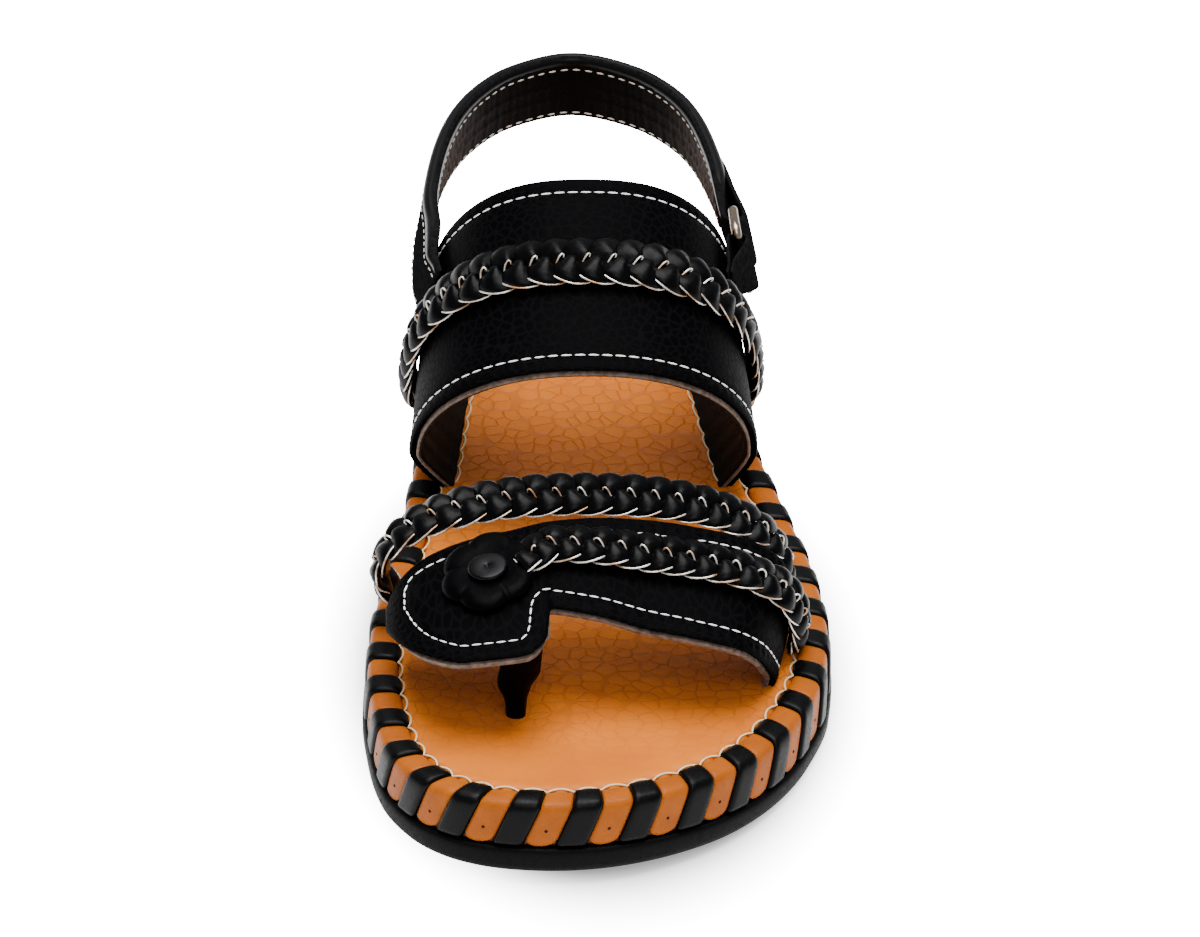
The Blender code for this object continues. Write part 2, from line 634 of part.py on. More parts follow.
def on_toe_strap(radius, turns, rise):
    """A ring of points that follows the toe strap's face round the rosette's middle."""
    x = ROSETTE_X + radius * np.cos(turns)
    y = ROSETTE_Y + radius * np.sin(turns)
    return np.column_stack([x, y, toe_strap_top(x, y) + rise])


def make_rosette():
    turns = np.arange(48) * math.tau / 48
    edge = ROSETTE_RADIUS * (1 + 0.07 * np.cos(ROSETTE_LOBES * turns))
    base = 2 * GAP
    rings = [
        on_toe_strap(edge - 0.8 * MM, turns, base),
        on_toe_strap(edge, turns, base + 0.5 * ROSETTE_THICKNESS),
        on_toe_strap(edge - 1.2 * MM, turns, base + ROSETTE_THICKNESS),
        on_toe_strap(0 * edge + RIVET_RADIUS, turns, base + 0.8 * ROSETTE_THICKNESS),
    ]
    return new_part("rosette", BLACK_LEATHER, rings, tube_faces(len(rings), len(turns)))


def make_rivet():
    turns = np.arange(32) * math.tau / 32
    base = 2 * GAP + ROSETTE_THICKNESS + GAP
    rings = [
        on_toe_strap(RIVET_RADIUS + 0 * turns, turns, base),
        on_toe_strap(RIVET_RADIUS + 0 * turns, turns, base + 0.5 * RIVET_HEIGHT),
        on_toe_strap(0.8 * RIVET_RADIUS + 0 * turns, turns, base + 0.92 * RIVET_HEIGHT),
        on_toe_strap(0.2 * RIVET_RADIUS + 0 * turns, turns, base + RIVET_HEIGHT),
    ]
    return new_part("rivet", GUNMETAL, rings, tube_faces(len(rings), len(turns)))


def slot_cutters():
    """Grown copies of the straps' feet and of the post, which open the insole's slots."""
    cutters = []
    straps = (
        ("instep_band", band_surface, BAND_WALL, ((-0.05, 0.10), (0.90, 1.05))),
        ("ball_braid", ball_braid_surface, BRAID_THICKNESS, ((-0.05, 0.10), (0.90, 1.05))),
        ("toe_strap", toe_strap_surface, TOE_STRAP_WALL, ((-0.03, 0.10),)),
    )
    for name, surface, wall, feet in straps:
        for k, foot in enumerate(feet):
            shares = np.linspace(*foot, 6)
            cutters.append(
                strap_wall(f"slot_{name}_{k}", BLACK_LEATHER, surface, shares, [0.0, 0.5, 1.0], wall, 2 * GAP)
            )
    cutters.append(make_post("slot_post", 2 * GAP, depth=6))
    return cutters


def make_straps():
    whole = (0.0, 1.0)
    shares, _ = strap_shares(band_surface, 34, whole, held_at(0.5))
    strap_wall("instep_band", BLACK_LEATHER, band_surface, shares, [0.0, 0.33, 0.67, 1.0], BAND_WALL)
    shares, _ = strap_shares(toe_strap_surface, 40, whole, held_at(0.3))
    strap_wall("toe_strap", BLACK_LEATHER, toe_strap_surface, shares, [0.0, 0.35, 0.7, 1.0], TOE_STRAP_WALL)
    braid("instep_braid", BLACK_LEATHER, band_surface, BAND_BRAID_ENDS, held_at(BAND_BRAID_AT),
          BAND_BRAID_WIDTH, BAND_BRAID_PITCH, GAP)
    braid("ball_braid", BLACK_LEATHER, ball_braid_surface, whole, held_at(0.5),
          BALL_BRAID_WIDTH, BALL_BRAID_PITCH, -BRAID_THICKNESS)
    braid("toe_braid", BLACK_LEATHER, toe_strap_surface, TOE_BRAID_ENDS, toe_braid_at,
          TOE_BRAID_WIDTH, TOE_BRAID_PITCH, GAP)


def main():
    clear_scene()
    make_outsole()
    make_wrapped_midsole()
    cut_slots(make_insole(), slot_cutters())
    make_straps()
    make_heel_strap()
    make_ring_tab()
    make_ring()
    make_post("toe_post")
    make_rosette()
    make_rivet()


main()
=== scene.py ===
"""Left balochi chappal: strip-wrapped sole, embossed insole, plaited straps, toe post and heel strap.

The toe points along -Y, the big toe's side is -X, and the floor is Z = 0. Lengths are in metres.
"""

import math
from collections import namedtuple

import bmesh
import bpy
import numpy as np
from mathutils import Matrix, Vector


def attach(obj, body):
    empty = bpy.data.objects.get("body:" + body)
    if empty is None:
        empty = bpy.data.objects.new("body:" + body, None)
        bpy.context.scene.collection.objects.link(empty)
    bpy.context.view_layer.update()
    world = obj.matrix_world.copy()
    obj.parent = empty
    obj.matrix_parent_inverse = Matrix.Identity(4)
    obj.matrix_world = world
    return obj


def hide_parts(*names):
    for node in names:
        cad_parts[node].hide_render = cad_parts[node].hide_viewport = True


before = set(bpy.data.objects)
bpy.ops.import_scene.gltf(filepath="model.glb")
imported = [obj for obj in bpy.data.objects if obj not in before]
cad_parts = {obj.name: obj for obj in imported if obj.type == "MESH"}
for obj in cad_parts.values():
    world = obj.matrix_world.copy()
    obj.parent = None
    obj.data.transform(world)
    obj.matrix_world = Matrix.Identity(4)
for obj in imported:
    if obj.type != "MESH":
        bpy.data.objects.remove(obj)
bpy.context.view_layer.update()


# Room. A plain white studio floor under broad soft lamps, as in a shop's product picture. A long lens
# looks down on the toe from the front, at the angle at which the shoe is seen in the photograph.
MM = 0.001
CAMERA_AT = Vector((-58.3, -1295.6, 802.9)) * MM
CAMERA_DOWN = math.radians(31)
CAMERA_TURN = math.radians(2.3)
LENS, SENSOR = 185.4, 36.0
WHITE, WORLD_LIGHT = (1.0, 1.0, 1.0, 1.0), 0.45
FLOOR_SIZE = 8.0
# The floor's glow to the camera is painted dim in an oval under the forefoot, a painted soft shadow there,
# and is white to the camera everywhere else. As a light it is dim all over.
GLOW_ACROSS, GLOW_ALONG, GLOW_MIDDLE = 0.067, 0.114, -0.05
GLOW_EDGE, GLOW_NEAR, GLOW_FAR, GLOW_AS_LIGHT = (0.76, 1.18), 0.4, 24.0, 0.5

Lamp = namedtuple("Lamp", "name at aim size watts")
LAMPS = (
    Lamp("lamp_top", (0.05, 0.10, 1.60), (0.0, 0.0, 0.03), 1.2, 56.0),
    Lamp("lamp_front", (0.10, -1.20, 1.50), (0.0, -0.05, 0.02), 0.8, 11.0),
    Lamp("lamp_back", (-0.10, 1.20, 1.60), (0.0, 0.05, 0.05), 0.7, 4.0),
)


def aimed(at, aim):
    at = Vector(at)
    return Matrix.Translation(at) @ (Vector(aim) - at).to_track_quat("-Z", "Y").to_matrix().to_4x4()


def add_object(name, data):
    made = bpy.data.objects.new(name, data)
    bpy.context.scene.collection.objects.link(made)
    return made


def srgb(red, green, blue):
    """Linear colour of a screen colour given from 0 to 255."""
    shares = np.array([red, green, blue]) / 255
    return tuple(np.where(shares <= 0.04045, shares / 12.92, ((shares + 0.055) / 1.055) ** 2.4)) + (1.0,)


def feed(tree, node, inputs):
    """Sets a node's inputs by name or number: a socket is linked, a value is stored and None is passed by."""
    for key, given in inputs.items():
        if isinstance(given, bpy.types.NodeSocket):
            tree.links.new(given, node.inputs[key])
        elif given is not None:
            node.inputs[key].default_value = given


def new_material(name, colour, roughness, metallic=0.0, specular=0.5):
    """A material with its Principled shader set, its node tree to add detail in, and the shader."""
    made = bpy.data.materials.new(name)
    made.use_nodes = True
    shader = made.node_tree.nodes["Principled BSDF"]
    feed(made.node_tree, shader, {
        "Base Color": colour, "Roughness": roughness, "Metallic": metallic, "Specular IOR Level": specular})
    return made, made.node_tree, shader


def add_node(tree, kind, inputs=None, **settings):
    """Adds a shader node with its settings made and its inputs fed, and gives its outputs."""
    made = tree.nodes.new("ShaderNode" + kind)
    for name, value in settings.items():
        setattr(made, name, value)
    feed(tree, made, inputs or {})
    return made.outputs


def coordinates(tree, kind="Object"):
    return add_node(tree, "TexCoord")[kind]


def computed(tree, kind, operation, *given):
    """The result of a Math or VectorMath node with its inputs fed in turn."""
    made = add_node(tree, kind, dict(enumerate(given)), operation=operation)
    return made["Value" if kind == "Math" or operation == "LENGTH" else "Vector"]


def spread(tree, source, low, high, from_low=0.3, from_high=0.7, kind="LINEAR"):
    """A value taken from one range to another."""
    return add_node(tree, "MapRange", {
        "Value": source, "From Min": from_low, "From Max": from_high, "To Min": low, "To Max": high,
    }, interpolation_type=kind)["Result"]


lens = bpy.data.cameras.new("camera")
lens.lens, lens.sensor_width = LENS, SENSOR
camera = add_object("camera", lens)
camera.matrix_world = (
    Matrix.Translation(CAMERA_AT)
    @ Matrix.Rotation(math.pi / 2 - CAMERA_DOWN, 4, "X")
    @ Matrix.Rotation(-CAMERA_TURN, 4, "Y")
)
bpy.context.scene.camera = camera

for row in LAMPS:
    light = bpy.data.lights.new(row.name, "AREA")
    light.size, light.energy = row.size, row.watts
    add_object(row.name, light).matrix_world = aimed(row.at, row.aim)

world = bpy.data.worlds.new("world")
world.use_nodes = True
feed(world.node_tree, world.node_tree.nodes["Background"], {"Color": WHITE, "Strength": WORLD_LIGHT})
bpy.context.scene.world = world

floor_mesh = bpy.data.meshes.new("floor")
work = bmesh.new()
bmesh.ops.create_grid(work, x_segments=1, y_segments=1, size=FLOOR_SIZE / 2)
work.to_mesh(floor_mesh)
work.free()
floor = add_object("floor", floor_mesh)
floor_white, tree, shader = new_material("floor", (0.95, 0.95, 0.95, 1.0), 0.8, specular=0.1)
# Painted shadow: the glow seen by the camera is dimmed in an oval under the forefoot.
oval = computed(tree, "VectorMath", "MULTIPLY_ADD", coordinates(tree), (1 / GLOW_ACROSS, 1 / GLOW_ALONG, 0.0),
                (0.0, -GLOW_MIDDLE / GLOW_ALONG, 0.0))
away = computed(tree, "VectorMath", "LENGTH", oval)
glow = spread(tree, away, GLOW_NEAR, GLOW_FAR, *GLOW_EDGE, "SMOOTHSTEP")
seen = add_node(tree, "LightPath")["Is Camera Ray"]
strength = add_node(tree, "Mix", {"Factor": seen, "A": GLOW_AS_LIGHT, "B": glow})["Result"]
feed(tree, shader, {"Emission Color": WHITE, "Emission Strength": strength})
floor_mesh.materials.append(floor_white)


# Outsole. A moulded black rubber slab, satin all over, with a little toe spring, a low arch and rounded
# edges. The wrapped midsole is cemented on it.
SOLE_LENGTH = 285 * MM
OUTSOLE_THICKNESS = 6.5 * MM
TOE_SPRING, TREAD_SPRING, TOE_SPRING_RUN = 3.0 * MM, 2.4 * MM, 40 * MM
HEEL_LIFT, HEEL_LIFT_FROM, HEEL_LIFT_TO = 4.0 * MM, -30 * MM, 75 * MM
ARCH_RELIEF, ARCH_FROM, ARCH_TO = 1.8 * MM, -35 * MM, 70 * MM
OUTLINE = np.array((  # distance from the toe tip, big-toe side, little-toe side
    (0, -12.5, -12.5), (2.2, -27.8, 2.6), (7.3, -37.6, 15.0), (17, -46.2, 29.0), (30, -51.8, 40.2),
    (44, -54.2, 47.8), (62, -55.5, 53.6), (82, -54.6, 55.5), (105, -51.2, 54.0), (132, -46.8, 49.2),
    (165, -42.6, 42.4), (200, -39.8, 37.8), (240, -39.4, 37.0), (268, -31.8, 29.4), (280, -19.6, 17.2),
    (285, -1.2, -1.2),
))


def smooth_through(keys, values, at):
    """Monotone cubic curve through one column of a table, read at the places asked for."""
    keys, values, at = (np.asarray(x, float) for x in (keys, values, at))
    step = np.diff(keys)
    slope = np.diff(values) / step
    same_way = slope[:-1] * slope[1:] > 0
    joined = np.where(same_way, slope[:-1] + slope[1:], 1.0)
    inside = np.where(same_way, 2 * slope[:-1] * slope[1:] / joined, 0.0)
    tangent = np.concatenate([slope[:1], inside, slope[-1:]])
    i = np.clip(np.searchsorted(keys, at, side="right") - 1, 0, len(step) - 1)
    t = (at - keys[i]) / step[i]
    start = (1 + 2 * t) * (1 - t) ** 2 * values[i] + t * (1 - t) ** 2 * step[i] * tangent[i]
    end = t * t * (3 - 2 * t) * values[i + 1] + t * t * (t - 1) * step[i] * tangent[i + 1]
    return start + end


def smooth_columns(keys, table, at):
    """Smooth curves through all columns of a table."""
    return np.stack([smooth_through(keys, column, at) for column in table.T], axis=-1)


def read_line(run, points, at):
    """Points of a line at lengths along it. Its own points lie at the lengths in run."""
    return np.stack([np.interp(at, run, column) for column in points.T], axis=-1)


def smooth_step(t):
    t = np.clip(t, 0.0, 1.0)
    return t * t * (3 - 2 * t)


def unit(vectors):
    return vectors / np.linalg.norm(vectors, axis=-1, keepdims=True)


def run_along(points):
    """Lengths along a line of points, from its start to each of them."""
    return np.concatenate([[0], np.cumsum(np.linalg.norm(np.diff(points, axis=0), axis=1))])


def fuller(wave, power):
    """A wave from -1 to 1 with its swing made fuller, for rounded sections."""
    return np.sign(wave) * np.abs(wave) ** power


def bell(t):
    """1 at 0, with a smooth fall to both sides."""
    return np.exp(-(t**2))


def toe_rise(y, rise):
    return rise * np.clip((-SOLE_LENGTH / 2 + TOE_SPRING_RUN - y) / TOE_SPRING_RUN, 0, 1) ** 2


def tread(y):
    """Height of the outsole's underside."""
    share = np.clip((y - ARCH_FROM) / (ARCH_TO - ARCH_FROM), 0, 1)
    return toe_rise(y, TREAD_SPRING) + ARCH_RELIEF * np.sin(math.pi * share) ** 2


def bed(y):
    """Height of the outsole's top."""
    heel = HEEL_LIFT * smooth_step((y - HEEL_LIFT_FROM) / (HEEL_LIFT_TO - HEEL_LIFT_FROM))
    return OUTSOLE_THICKNESS + toe_rise(y, TOE_SPRING) + heel


def sole_sides(turn):
    """Big-toe side, little-toe side and y of the outline at a turn, from 0 at the toe to pi at the heel."""
    keys = np.arccos(1 - 2 * OUTLINE[:, 0] * MM / SOLE_LENGTH)
    inner, outer = smooth_columns(keys, OUTLINE[:, 1:] * MM, turn).T
    return inner, outer, -SOLE_LENGTH / 2 * np.cos(turn)


turns_out = np.linspace(0, math.pi, 1201)
inner_out, outer_out, y_out = sole_sides(turns_out)
outline_points = np.concatenate(
    [np.stack([outer_out, y_out], axis=1), np.stack([inner_out, y_out], axis=1)[-2::-1]]
)
outline_turns = np.linspace(0, math.tau, len(outline_points))
outline_run = run_along(outline_points)
GIRTH = outline_run[-1]


def around(place):
    """Points of the outline at shares of its girth, from the toe by the little toe, and inward normals."""

    def at(share):
        return read_line(outline_run, outline_points, (share % 1.0) * GIRTH)

    tangent = unit(at(place + 0.004) - at(place - 0.004))
    return at(place), np.stack([-tangent[..., 1], tangent[..., 0]], axis=-1)


def place_of(turn):
    """Share of the girth at a turn: two places as far from the toe, one on each side, have matching turns."""
    return np.interp(turn, outline_turns, outline_run) / GIRTH


def bend_grid(target, u_steps, v_steps, place, size=(1.0, 1.0)):
    """Adds a flat grid to a bmesh and bends it: place(u, v) gives its points for u and v from 0 to 1."""
    uv = target.loops.layers.uv.verify()
    grid = bmesh.ops.create_grid(target, x_segments=u_steps, y_segments=v_steps, size=0.5, calc_uvs=True)
    verts = grid["verts"]
    flat = np.array([v.co[:2] for v in verts]) + 0.5
    for vert, point in zip(verts, place(flat[:, 0], flat[:, 1])):
        vert.co = point
    for face in {f for v in verts for f in v.link_faces}:
        for loop in face.loops:
            loop[uv].uv = (loop[uv].uv[0] * size[0], loop[uv].uv[1] * size[1])


def add_piece(name, source, material, inside=None, slot=None, node=None):
    """Turns a bmesh into a smooth piece that rides with the shoe. Normals face away from a point inside."""
    bmesh.ops.remove_doubles(source, verts=source.verts, dist=1e-6)
    bmesh.ops.recalc_face_normals(source, faces=source.faces)
    if inside is not None:
        middle = Vector(inside)
        facing = sum(f.normal.dot(f.calc_center_median() - middle) * f.calc_area() for f in source.faces)
        if facing < 0:
            bmesh.ops.reverse_faces(source, faces=source.faces)
    mesh = bpy.data.meshes.new(name)
    source.to_mesh(mesh)
    source.free()
    mesh.shade_smooth()
    mesh.materials.append(material)
    piece = add_object(name, mesh)
    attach(piece, "root")
    if node:
        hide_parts(node)
    return piece


def add_wall(piece, thickness, rounding=0.0):
    """Gives a sheet its thickness, inward from the modelled face, and rounds the edges it then has."""
    wall = piece.modifiers.new("wall", "SOLIDIFY")
    wall.thickness, wall.offset = thickness, -1.0
    if rounding:
        edge = piece.modifiers.new("rounding", "BEVEL")
        edge.width, edge.segments, edge.limit_method = rounding, 2, "ANGLE"
        edge.angle_limit = math.radians(50)


def slab(target, profile, steps):
    """Closed slab from rings of (inset, height line, rise), closed by strips across the foot."""
    insets = np.array([row[0] for row in profile]) * MM

    def place(u, v):
        row = np.rint(v * (len(profile) - 1)).astype(int)
        points, inward = around(place_of(((u * steps + 0.5) % steps) / steps * math.tau))
        flat = points + inward * insets[row][:, None]
        height = np.array([profile[k][1](y) + profile[k][2] * MM for k, y in zip(row, flat[:, 1])])
        return np.column_stack([flat, height])

    bend_grid(target, steps, len(profile) - 1, place)
    bmesh.ops.remove_doubles(target, verts=target.verts, dist=1e-6)
    rim = [e for e in target.edges if e.is_boundary]
    middle = sum(v.co.z for e in rim for v in e.verts) / (2 * len(rim))
    for upper in (False, True):
        ring = [e for e in rim if (e.verts[0].co.z - bed(e.verts[0].co.y) > middle - bed(0.0)) == upper]
        ring.sort(key=lambda e: e.verts[0].co.y + e.verts[1].co.y)
        bmesh.ops.bridge_loops(target, edges=ring[1:-1])


def value_noise(tree, scale, detail=3.0, place=None):
    """Noise in the piece's own coordinates, or at a place that a socket gives."""
    inputs = {"Vector": place or coordinates(tree), "Scale": scale, "Detail": detail}
    return add_node(tree, "TexNoise", inputs)["Fac"]


def mixed(tree, factor, first, second):
    """A colour between two colours, by a factor."""
    return add_node(tree, "Mix", {"Factor": factor, "A": first, "B": second}, data_type="RGBA")["Result"]


def bumped(tree, height, distance, strength):
    """A normal bent by a height, whose full range stands for a distance in mm."""
    return add_node(tree, "Bump", {"Distance": distance * MM, "Strength": strength, "Height": height})["Normal"]


def grained(name, colour, roughness, grain, rough=None, bump=None, tones=None, metallic=0.0, specular=0.5):
    """A material with a fine grain: the range of its roughness, its bump in mm and strength, its two tones."""
    made, tree, shader = new_material(name, colour, roughness, metallic, specular)
    noise = value_noise(tree, grain)
    if rough:
        feed(tree, shader, {"Roughness": spread(tree, noise, *rough)})
    if bump:
        feed(tree, shader, {"Normal": bumped(tree, noise, *bump)})
    if tones:
        feed(tree, shader, {"Base Color": mixed(tree, spread(tree, noise, 0.0, 1.0), *tones)})
    return made


SOLE_STEPS = 360
rubber = grained("black_rubber", srgb(5, 5, 6), 0.5, 900.0, (0.42, 0.58), (0.1, 0.4), specular=0.05)

work = bmesh.new()
slab(work, (
    (3.2, tread, 0.0), (1.7, tread, 0.2), (0.8, tread, 0.8), (0.1, tread, 1.6), (-0.3, tread, 2.6),
    (-0.3, bed, -1.9), (-0.2, bed, -1.0), (0.2, bed, -0.35), (0.9, bed, -0.02), (1.8, bed, 0.0),
), SOLE_STEPS)
add_piece("rubber_outsole", work, rubber, slot="outsole", node="outsole")


# Midsole core. The leather board whose edge the strips are wrapped round, seen only in the thin gaps
# between them. It is cemented on the outsole.
# Partly painted shade: the board's dark tan is its own colour and also stands for the shade in the gaps between
# the strips.
core_leather_gap_shade = grained("core_leather_gap_shade", srgb(92, 46, 14), 0.7, 600.0, bump=(0.1, 0.5), specular=0.3)

work = bmesh.new()
slab(work, (
    (3.0, bed, 0.1), (1.9, bed, 0.2), (1.6, bed, 1.0), (1.6, bed, 6.0), (1.9, bed, 8.8), (2.6, bed, 10.0),
    (4.0, bed, 10.7), (7.0, bed, 10.7), (8.2, bed, 9.6), (8.6, bed, 8.6),
), SOLE_STEPS)
add_piece("midsole_core", work, core_leather_gap_shade, slot="wrapped_midsole", node="wrapped_midsole")


# Wrapped strips. Leather strips in turn tan and black, laid aslant over the midsole's edge from the
# stitched inner end to the outsole. The black ones are thicker and lie over the tan ones' edges.
STRIP_PAIRS = 46
RIM_HEIGHT, RIM_WIDTH = 11.6 * MM, 7.7 * MM
SIDE_SLANT, TOP_SLANT, SIDE_RUN = 0.40, 0.18, 10.2
RIM_PROFILE = np.array((  # inset from the outline and height above the outsole, from the lower end up
    (0.75, 0.35), (0.80, 2.5), (0.88, 5.0), (1.00, 7.6), (1.15, 9.3), (1.45, 10.4), (2.10, 11.1),
    (3.20, 11.4), (4.50, 11.55), (6.00, 11.6), (7.10, 11.45), (7.75, 11.0), (8.00, 10.3),
))
rim_run = run_along(RIM_PROFILE)
RIM_RUN = rim_run[-1]


def on_rim(place, run, rise):
    """Points on the rim: shares of the girth, run in mm up the side and over the top, rise in mm off it."""
    here, ahead, behind = (smooth_columns(rim_run, RIM_PROFILE, at) for at in (
        run, np.minimum(run + 0.1, RIM_RUN), np.maximum(run - 0.1, 0)))
    along = unit(ahead - behind)
    inset, height = here[..., 0] - along[..., 1] * rise, here[..., 1] + along[..., 0] * rise
    lean = SIDE_SLANT * np.minimum(run, SIDE_RUN) + TOP_SLANT * np.maximum(run - SIDE_RUN, 0)
    points, inward = around(place + lean * MM / GIRTH)
    flat = points + inward * (inset * MM)[:, None]
    return np.column_stack([flat, bed(flat[:, 1]) + height * MM])


tan_leather, tree, shader = new_material("tan_leather", srgb(150, 76, 10), 0.42, specular=0.10)
blush = spread(tree, value_noise(tree, 180.0, 4.0), 0.0, 1.0)
pores = value_noise(tree, 1500.0)
feed(tree, shader, {
    "Base Color": mixed(tree, blush, srgb(144, 71, 8), srgb(160, 82, 11)),
    "Roughness": spread(tree, pores, 0.36, 0.5), "Normal": bumped(tree, pores, 0.06, 0.5)})
black_strip = grained("black_strip_leather", srgb(3, 3, 4), 0.34, 1100.0, (0.3, 0.44), (0.06, 0.5),
                      specular=0.08)

StripRow = namedtuple(
    "StripRow", "name leather middle half_width steps rise edge_power low_round low_end wall")
STRIPS = (  # places and widths in pairs of strips, lengths in mm
    StripRow("tan_strips", tan_leather, 0.75, 0.255, 10, 0.30, 8, 2.2, 0.2, 0.7),
    StripRow("black_strips", black_strip, 0.25, 0.258, 12, 0.95, 7, 0.0, 0.6, 0.9),
)
STRIP_STEPS_UP, STRIP_SUNK, TOP_ROUND, IN_SOLE = 22, 0.12, 0.9, (0, 0, 0.008)


def strip_place(row, pair):
    """Bends a grid into one strip. Its edges are rolled down and both its ends are rounded."""

    def place(u, v):
        q = 2 * u - 1
        low = row.low_end + row.low_round * (1 - np.sqrt(np.clip(1 - q**2 * 0.98, 0, 1)))
        high = RIM_RUN - TOP_ROUND * np.abs(q) ** 3
        lift = row.rise * (1 - np.abs(q) ** row.edge_power) ** 0.7 - STRIP_SUNK
        return on_rim((pair + row.middle + q * row.half_width) / STRIP_PAIRS, low + (high - low) * v, lift)

    return place


for row in STRIPS:
    work = bmesh.new()
    for pair in range(STRIP_PAIRS):
        bend_grid(work, row.steps, STRIP_STEPS_UP, strip_place(row, pair))
    piece = add_piece(row.name, work, row.leather, IN_SOLE, slot="wrapped_midsole")
    add_wall(piece, row.wall * MM)

# Each tan strip is pricked once, low on its side face: the prick is a dark disc on the surface, painted shade
# for the inside of the hole.
PRICK_RUN, PRICK_RADIUS, PRICK_DEPTH = 4.2, 0.42 * MM, 0.12 * MM
prick_hole_shade = new_material("prick_hole_shade", srgb(40, 18, 6), 0.8, specular=0.1)[0]
work = bmesh.new()
for pair in range(STRIP_PAIRS):
    near = pair + STRIPS[0].middle + np.array((0, 0, 0.02))
    spots = on_rim(near / STRIP_PAIRS, PRICK_RUN + np.array((0, 0.4, 0)), np.full(3, 0.2))
    at, up, side = (Vector(spot) for spot in spots)
    out = (side - at).cross(up - at).normalized()
    turn = out.to_track_quat("Z", "Y").to_matrix().to_4x4()
    bmesh.ops.create_cone(
        work, cap_ends=True, segments=10, radius1=PRICK_RADIUS, radius2=PRICK_RADIUS * 0.8, depth=PRICK_DEPTH,
        matrix=Matrix.Translation(at + out * PRICK_DEPTH / 4) @ turn,
    )
add_piece("strip_pricks", work, prick_hole_shade, slot="wrapped_midsole")


# Rim thread. Waxed cream thread looped round the inner end of each strip, which sews the strips and the
# edge of the insole to the midsole in one chain.
THREAD_RADIUS, THREAD_INSET = 0.26 * MM, 8.0
LOOP_STEPS, LOOP_REACH, LOOP_RISE, LOOP_SUNK = 10, 1.15, 0.35, 0.5


def loops(steps):
    """Swing of a row of thread loops, from 0 between two loops to 1 in the middle of one."""
    return np.abs(np.sin(math.pi * steps)) ** 0.8


def tube(target, line, radius, around_steps=6, closed=False, up=(0.0, 0.0, 1.0)):
    """Adds a round tube along a line of points. A closed line joins up; an open one gets tapered ends."""
    line = np.asarray(line)
    if closed:
        line = np.concatenate([line, line[:1]])
        step = np.roll(line[:-1], -1, axis=0) - np.roll(line[:-1], 1, axis=0)
        tangent = unit(np.concatenate([step, step[:1]]))
    else:
        tangent = unit(np.gradient(line, axis=0))
    side = unit(np.cross(tangent, up))
    top = np.cross(side, tangent)
    count = len(line) - 1
    thick = np.broadcast_to(radius, (len(line),)).astype(float).copy()
    if not closed:
        thick[[0, -1]] = 0.02 * MM

    def place(u, v):
        i = np.rint(u * count).astype(int)
        turn = (v * math.tau)[:, None]
        return line[i] + thick[i][:, None] * (side[i] * np.cos(turn) + top[i] * np.sin(turn))

    bend_grid(target, count, around_steps, place, (0.1, 0.01))


cream_thread = grained("cream_thread", srgb(222, 198, 158), 0.5, 1400.0, bump=(0.12, 0.7), specular=0.4)

work = bmesh.new()
steps = np.arange(2 * STRIP_PAIRS * LOOP_STEPS) / LOOP_STEPS
arc = loops(steps)
lean = (SIDE_SLANT * SIDE_RUN + TOP_SLANT * (RIM_RUN - SIDE_RUN)) * MM / GIRTH
points, inward = around(steps / (2 * STRIP_PAIRS) + lean)
flat = points + inward * ((THREAD_INSET + LOOP_REACH * arc) * MM)[:, None]
height = bed(flat[:, 1]) + RIM_HEIGHT + (LOOP_RISE * arc - LOOP_SUNK) * MM
tube(work, np.column_stack([flat, height]), THREAD_RADIUS, closed=True)
add_piece("rim_thread", work, cream_thread, slot="wrapped_midsole")


# Insole. Tan leather stamped with a reptile grain of uneven cells, smooth at the toe. It is padded a
# little, drawn down by the rim thread at its edge and dented where the toe post goes through.
INSOLE_EDGE, INSOLE_WALL, INSOLE_STEPS = RIM_WIDTH + 0.15 * MM, 1.2 * MM, (16 * STRIP_PAIRS, 44)
SPINE_FROM, SPINE_TO = -96 * MM, 104 * MM
POST_AT = np.array((-20.3, -96.4)) * MM


def insole_place(u, v):
    turn = u * math.tau
    share = place_of(turn)
    points, inward = around(share)
    edge = points + inward * INSOLE_EDGE
    folded = np.where(turn <= math.pi, turn, math.tau - turn)
    y = np.clip(-SOLE_LENGTH / 2 * np.cos(folded), SPINE_FROM, SPINE_TO)
    inner, outer, _ = sole_sides(np.arccos(np.clip(-2 * y / SOLE_LENGTH, -1, 1)))
    spine = np.stack([(inner + outer) / 2, y], axis=1)
    flat = edge + (spine - edge) * (v**1.8)[:, None]
    deep = np.linalg.norm(flat - edge, axis=1) / MM
    drawn = np.abs(np.cos(math.pi * (share - lean) * 2 * STRIP_PAIRS)) ** 4
    rise = -1.5 * bell(deep / 0.9) - 0.55 * drawn * bell(deep / 2.2)
    rise += 0.25 * bell((deep - 3.0) / 2.0) - 0.5 * smooth_step((deep - 4) / 24)
    rise -= 1.3 * bell(np.linalg.norm(flat - POST_AT, axis=1) / MM / 7.5)
    return np.column_stack([flat, bed(flat[:, 1]) + RIM_HEIGHT + rise * MM])


CELL_ROUND = (0.53, 0.72)  # where a cell's round edge ends, in cell sizes from its middle
STAMP_FADE = (-0.122, -0.088)  # between these places the stamp fades out towards the toe


